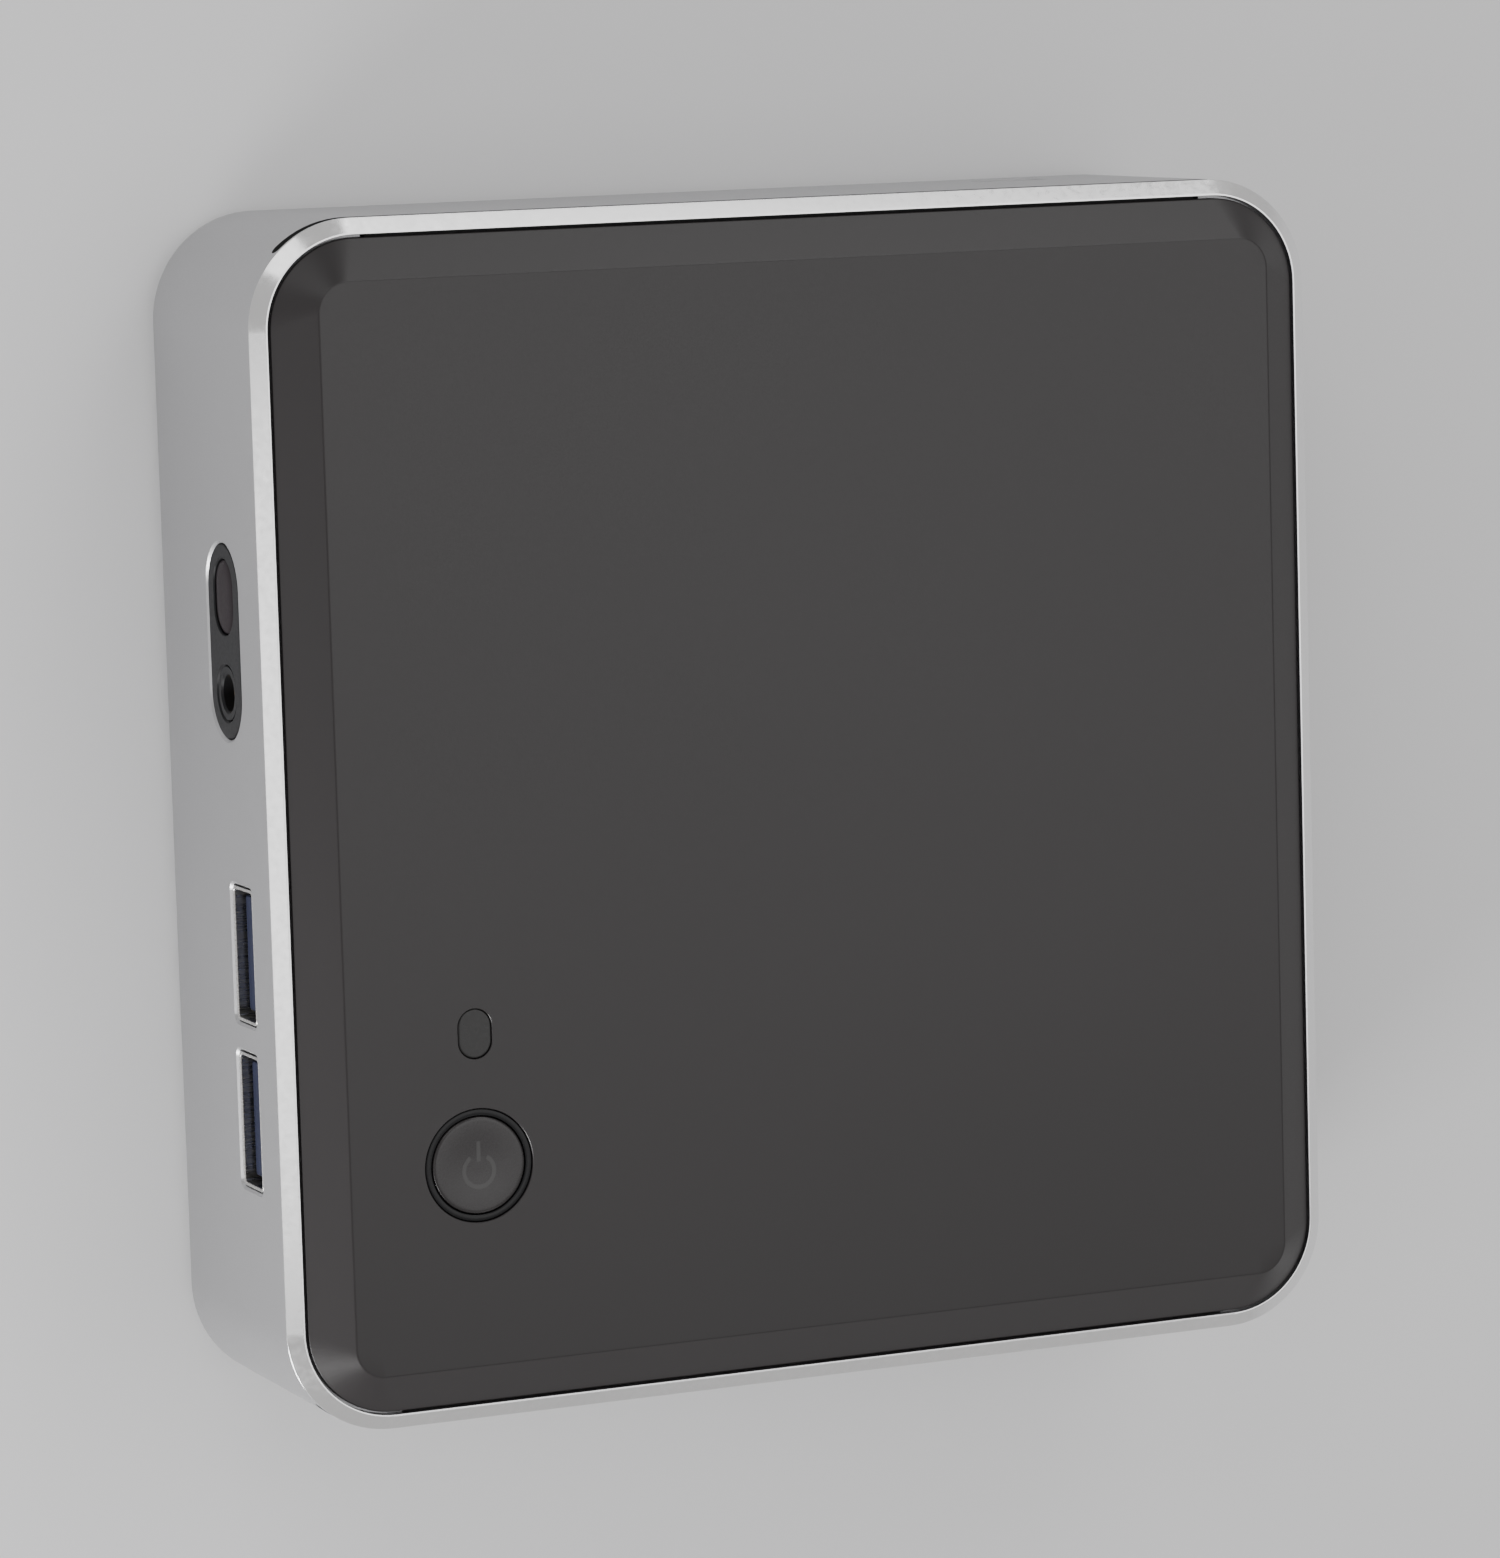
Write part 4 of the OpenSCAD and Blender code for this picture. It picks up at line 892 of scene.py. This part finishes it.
def make_headphone_jack():
    low, high = box_mm("audio_jack")
    body_y, half = low.y + 2.4, 3.1
    jack = raw_mesh("headphone_jack", box_mesh((JACK.x - half, body_y, BOARD_Z + 0.15),
                                               (JACK.x + half, high.y, high.z)), ["bezel_plastic"])
    soften(jack.data, 0.3)
    shoulders = box_mesh((low.x, body_y + 4, BOARD_TOP), (high.x, body_y + 11, BOARD_TOP + 0.5))
    tube = swept(circle_outline(2.6), [(0, 0), (0, 2.6)], JACK.x, low.y, BEZEL.z)
    cut(jack, [tool(shape, "bezel_plastic") for shape in (shoulders, tube)], "UNION")
    bore = flared(circle_outline(JACK_R), JACK.x, low.y, BEZEL.z, 1, 13, 0.2)
    cut(jack, [tool(bore, "bezel_plastic")])
    finish_piece(jack, ["audio_jack"])

    # the sleeve contact, a thin sprung ring inside the mouth
    outer, inner = JACK_R + 0.1, JACK_R - 0.12
    ring = fillet([(outer, 1.2), (inner, 1.35), (inner, 2.6), (outer, 2.75)], [0] * 4)
    contact = swept(circle_outline(0, 48), ring, JACK.x, low.y, BEZEL.z, closed=True)
    add_mesh("jack_contact", contact, "gold_contacts")


# ---- USB sockets

def usb_parts(x, z, y, inward):
    """Shell, insulator and contacts of one USB socket, with its bar in the lower half."""
    depth = 15.2
    shell = fillet([(SHELL_T, depth), (SHELL_T, 0), (0, 0), (0, depth - SHELL_T)],
                   [0, 0.15, 0.2, 0], 3, closed=False)
    steel = [swept(usb_outline, shell, 0, 0, 0)]
    for side in (-1, 1):
        for tab in (-3.4, 3.4):
            path = [(tab, v, side * w)
                    for v, w in ((9.4, 2.66), (7.5, 2.6), (5, 2.34), (4, 2.3), (3.2, 2.42))]
            steel.append(ribbon(path, 1.9, 0.2))
    block = 3
    back = depth - SHELL_T - block
    rings = bar_rings(11.2, 1.8, 0.35, 4, -1.1, ((1, -0.2), (1.06, -0.06), (1.2, 0), (back, 0)))
    rings += bar_rings(12.3, 4.9, 0.3, 4, 0, ((back, 0), (back + block, 0)))
    pads = [box_mesh((u - 0.5, 1.9, -0.25), (u + 0.5, 9.2, -0.15)) for u in (-3.5, -1, 1, 3.5)]
    for u in (-4, -2, 0, 2, 4):
        path = [(u, 11.6, -0.1), (u, 10.8, 0.15), (u, 10.2, 0.1), (u, 9.8, -0.1)]
        pads.append(ribbon(path, 0.6, 0.15))
    return [turned(several(g), x, y, z, inward) for g in (steel, [skin(rings)], pads)]


def usb_leg(x, y, foot_z, top_z):
    """A shell's leg at (x, y), which narrows to its foot on the board."""
    half = 0.17
    corners = ((-1, -1), (1, -1), (1, 1), (-1, 1))
    return skin([[(x + s * half, y + u * w, h) for s, u in corners]
                 for h, w in ((foot_z, 0.5), (foot_z + 0.6, 0.8), (top_z, 0.8))])


def make_usb(name, places, z, y, inward, nodes, leg_to=None):
    shells, bars, pads = zip(*[usb_parts(x, z, y, inward) for x in places])
    legs = []
    if leg_to:
        reach = USB_MOUTH[0] / 2 + SHELL_T / 2
        legs = [usb_leg(x + side * reach, y + v + 0.8, leg_to, z)
                for x in places for side in (-1, 1) for v in (6.4, 12)]
    add_mesh(name + "_steel", several([*shells, *legs]), "socket_steel", [nodes[0]])
    add_mesh(name + "_bars", several(bars), "blue_plastic", [nodes[1]])
    add_mesh(name + "_contacts", several(pads), "gold_contacts", bevel=0.03)


# ---- rear panel and its sockets

def make_rear_panel():
    low, high = box_mm("rear_panel")
    back, face = low.y + 0.8, high.y
    z, h = (low.z + high.z) / 2, high.z - low.z
    edge = fillet([(-0.4, back), (0, back), (0, face), (-0.4, face)], [0, 0, 0.2, 0], closed=False)
    panel = raw_mesh("socket_panel", swept(round_outline(91.8, h, 0.5, 0.5, 6), edge, 0, 0, z),
                     ["panel_plastic"])
    flanges = [box_mesh((side * REAR_HALF - 2, low.y, low.z + 1),
                        (side * REAR_HALF + 2, back + 0.4, high.z - 1)) for side in (-1, 1)]
    cut(panel, [tool(several(flanges), "panel_plastic")], "UNION")

    def hole(outline, x, z, chamfer=0.25):
        return flared(outline, x, face, z, -1, 3, chamfer)

    gap = 0.65
    holes = [hole(grown(usb_outline, gap), x, REAR_USB_Z) for x in REAR_USB_X]
    holes += [hole(grown(hdmi_outline, gap), HDMI.x, HDMI.z),
              hole(grown(dp_outline, gap), DP.x, DP.z),
              hole(round_outline(16.5, 13.8, 0.5), LAN.x, LAN.z),
              hole(circle_outline(4.1), DC.x, DC.z, 0.35)]
    slots = [hole(round_outline(1.6, 2.7, 0.45), -36.4 + i * 2.6, z, 0.15)
             for z in (23, 26.4) for i in range(29)]
    cut(panel, [tool(shape, "panel_plastic") for shape in holes + [several(slots)]])
    finish_piece(panel, ["rear_panel"])


def video_parts(at, outline, depth, width, thick, bar_z, count, pitch):
    """Shell, bar and contacts of one video socket."""
    shell = fillet([(SHELL_T, depth), (SHELL_T, 0), (0, 0), (0, depth - SHELL_T)],
                   [0, 0.15, 0.18, 0], 3, closed=False)
    bar = skin(bar_rings(width, thick, 0.25, 3, bar_z, ((1.2, -0.15), (1.35, 0), (depth - 0.4, 0))))
    pads = []
    for i in range(count):
        u = (i - (count - 1) / 2) * pitch
        for side in (-1, 1):
            low, high = sorted(bar_z + side * (thick / 2 + sunk) for sunk in (-0.05, 0.05))
            pads.append(box_mesh((u - pitch * 0.2, 1.8, low), (u + pitch * 0.2, depth - 2, high)))
    return [turned(g, at.x, SOCKET_Y, at.z, -1)
            for g in (swept(outline, shell, 0, 0, 0), bar, several(pads))]


def make_video_sockets():
    shells, bars, pads = zip(video_parts(HDMI, hdmi_outline, 11, 9.6, 1.2, 0.5, 10, 0.95),
                             video_parts(DP, dp_outline, 9, 5.2, 1.0, 0, 8, 0.6))
    add_mesh("video_shells", several(shells), "socket_steel", ["video_port_shells"])
    add_mesh("video_bars", several(bars), "black_plastic", ["video_port_tongues"])
    add_mesh("video_contacts", several(pads), "gold_contacts")


def make_network_socket():
    def put(geometry):
        return turned(geometry, LAN.x, SOCKET_Y, LAN.z, -1)

    body = fillet([(-2, 21.4), (0, 21.4), (0, 0), (-2, 0)], [0, 0.3, 0.3, 0], 3, closed=False)
    box = swept(round_outline(16, 13.3, 0.6, 0.5), body, 0, 0, 0)
    shield = raw_mesh("network_shield", put(box), ["socket_steel"])
    plug_opening = box_mesh((-6.3, -1, -3.45), (6.3, 13.4, 4.95))
    clip_opening = box_mesh((-3.5, -1, -5.65), (3.5, 9.4, -3.3))
    light_openings = several([box_mesh((side * 5.6 - 1.3, -1, -5.9), (side * 5.6 + 1.3, 1.2, -4.1))
                              for side in (-1, 1)])
    cut(shield, [tool(put(shape), "socket_steel")
                 for shape in (plug_opening, clip_opening, light_openings)])
    finish_piece(shield, ["lan_port"])

    liner = raw_mesh("network_liner", put(box_mesh((-6.28, 0.25, -3.43), (6.28, 13.38, 4.93))),
                     ["black_plastic"])
    below = box_mesh((-3.48, 0.25, -5.63), (3.48, 9.38, -3.3))
    cut(liner, [tool(put(below), "black_plastic")], "UNION")
    plug_way = skin(bar_rings(11.8, 7.6, 0.3, 4, 0.75, ((-1, 1.45), (0.45, 0), (13, 0))))
    clip_way = skin(bar_rings(6.2, 3, 0.3, 4, -3.75, ((-1, 1.45), (0.45, 0), (9, 0))))
    cut(liner, [tool(put(shape), "black_plastic") for shape in (plug_way, clip_way)])
    finish_piece(liner)

    lens = fillet([(-0.5, -0.04), (0, -0.04), (0, 1.1), (-0.5, 1.1)], [0, 0.2, 0, 0], 3,
                  closed=False)
    lights = (("link_light", -1, "green_lens"), ("activity_light", 1, "amber_lens"))
    for name, side, color in lights:
        shape = swept(round_outline(2.4, 1.6, 0.3, 0.25, 4), lens, side * 5.6, 0, -5.0)
        add_mesh(name, put(shape), "light_pipe", material=color)

    bends = ((13.1, 4.2), (9.5, 4.1), (8.6, 3.9), (5.2, 2.2), (4.6, 2.1), (4.1, 2.4))
    wires = [ribbon([(-3.57 + 1.02 * i, v, w) for v, w in bends], 0.46, 0.25)
             for i in range(8)]
    add_mesh("network_contacts", put(several(wires)), "gold_contacts", ["lan_contacts"])


def make_power_inlet():
    low, high = box_mm("dc_jack")
    jack = raw_mesh("power_inlet", box_mesh((low.x, low.y, low.z), (high.x, high.y - 1.9, high.z)),
                    ["black_plastic"])
    soften(jack.data, 0.3)
    rounding = [(0, -2.2), (0, -0.25), (-0.08, -0.08), (-0.25, 0)]
    collar = swept(circle_outline(3.9), rounding, DC.x, SOCKET_Y, DC.z)
    cut(jack, [tool(collar, "black_plastic")], "UNION")
    bore = flared(circle_outline(2.9), DC.x, SOCKET_Y, DC.z, -1, 11.4, 0.3)
    cut(jack, [tool(bore, "black_plastic")])
    finish_piece(jack, ["dc_jack"])

    tip = box_mm("dc_jack_pin")[1].y
    pin = [(1.2, -10.3), (1.2, -0.7), (1.12, -0.35), (0.9, -0.12), (0.6, -0.02), (0.3, 0)]
    add_mesh("inlet_pin", swept(circle_outline(0, 40), pin, DC.x, tip, DC.z), "socket_steel",
             ["dc_jack_pin"])
    bends = ((10.5, 3.0), (8, 2.9), (5, 2.45), (4, 2.45), (3, 2.8))
    leaf = ribbon([(DC.x, SOCKET_Y - v, DC.z - w) for v, w in bends], 1.6, 0.25)
    add_mesh("inlet_spring", leaf, "socket_steel")


# ---- inside

def finish_inside():
    """Every CAD node that is still shown gets its slot's material, or one with zones of its own."""
    for node, made in frame["nodes"].items():
        if made.hide_render:
            continue
        made.data.materials.clear()
        made.data.materials.append(MATERIALS.get(node) or MATERIALS[SLOTS[node]])


# ---- stage, light and camera

# Each soft panel's direction from the object, its distance, width, height and radiance
LIGHTS = {
    "side": ((-0.75, 0.38, 0.54), 1000, 480, 480, 2.25),
    "front": ((0.12, -0.79, 0.59), 1000, 220, 220, 1.55),
    "corner": ((-0.655, -0.386, 0.628), 1000, 440, 440, 1.6),
    "low": ((0.82, 0.39, 0.40), 1200, 400, 400, 0.9),
    "high": ((-0.1, 0.35, 0.93), 1300, 900, 900, 1.45),
    "right": ((0.6, -0.79, 0.13), 450, 180, 110, 38),
}


def make_floor():
    half = 3000
    corners = [(-half, -half, 0), (half, -half, 0), (half, half, 0), (-half, half, 0)]
    floor = raw_mesh("floor", (corners, [(0, 1, 2, 3)]), ["floor"])


def make_camera():
    """The photograph's viewing direction, from above the front edge, with the front to the left."""
    aim, distance = Vector((0, 0, 17)), 650
    back = Vector((-0.124, -0.393, 0.911)).normalized()
    right = Vector((-0.992, 0.076, -0.103)).cross(back).normalized()
    place = Matrix((right, back.cross(right), back)).transposed().to_4x4()
    place.translation = (aim + back * distance) * MM
    data = bpy.data.cameras.new("camera")
    data.sensor_width = 36
    data.lens = 150
    data.clip_start = 0.01
    camera = bpy.data.objects.new("camera", data)
    bpy.context.scene.collection.objects.link(camera)
    camera.matrix_world = place
    bpy.context.scene.camera = camera


def make_world():
    world = bpy.data.worlds.new("studio")
    world.use_nodes = True
    background = world.node_tree.nodes["Background"]
    background.inputs["Color"].default_value = (1.0, 0.985, 0.975, 1)
    background.inputs["Strength"].default_value = 0.57
    bpy.context.scene.world = world


def make_light(name, toward, distance, width, height, radiance):
    """A soft panel that faces the object."""
    data = bpy.data.lights.new(name, "AREA")
    data.shape = "RECTANGLE"
    data.size, data.size_y = width * MM, height * MM
    data.energy = radiance * math.pi * data.size * data.size_y
    light = bpy.data.objects.new(name, data)
    direction = Vector(toward).normalized()
    light.location = (Vector((0, 0, 20)) + direction * distance) * MM
    light.rotation_euler = (-direction).to_track_quat("-Z", "Y").to_euler()
    bpy.context.scene.collection.objects.link(light)


make_case()
make_bottom()
make_feet()
make_cover_screws()
make_bracket_inserts()
make_top_cover()
make_button()
make_lights()
make_front_insert()
make_headphone_jack()
make_usb("front_usb", FRONT_USB_X, USB_Z, FRONT_Y + 0.1, 1,
         ["front_usb_shells", "front_usb_tongues"], leg_to=BOARD_TOP)
make_rear_panel()
make_usb("rear_usb", REAR_USB_X, REAR_USB_Z, SOCKET_Y, -1, ["rear_usb_shells", "rear_usb_tongues"])
make_video_sockets()
make_network_socket()
make_power_inlet()
finish_inside()
make_floor()
make_camera()
make_world()
for name, settings in LIGHTS.items():
    make_light(name, *settings)
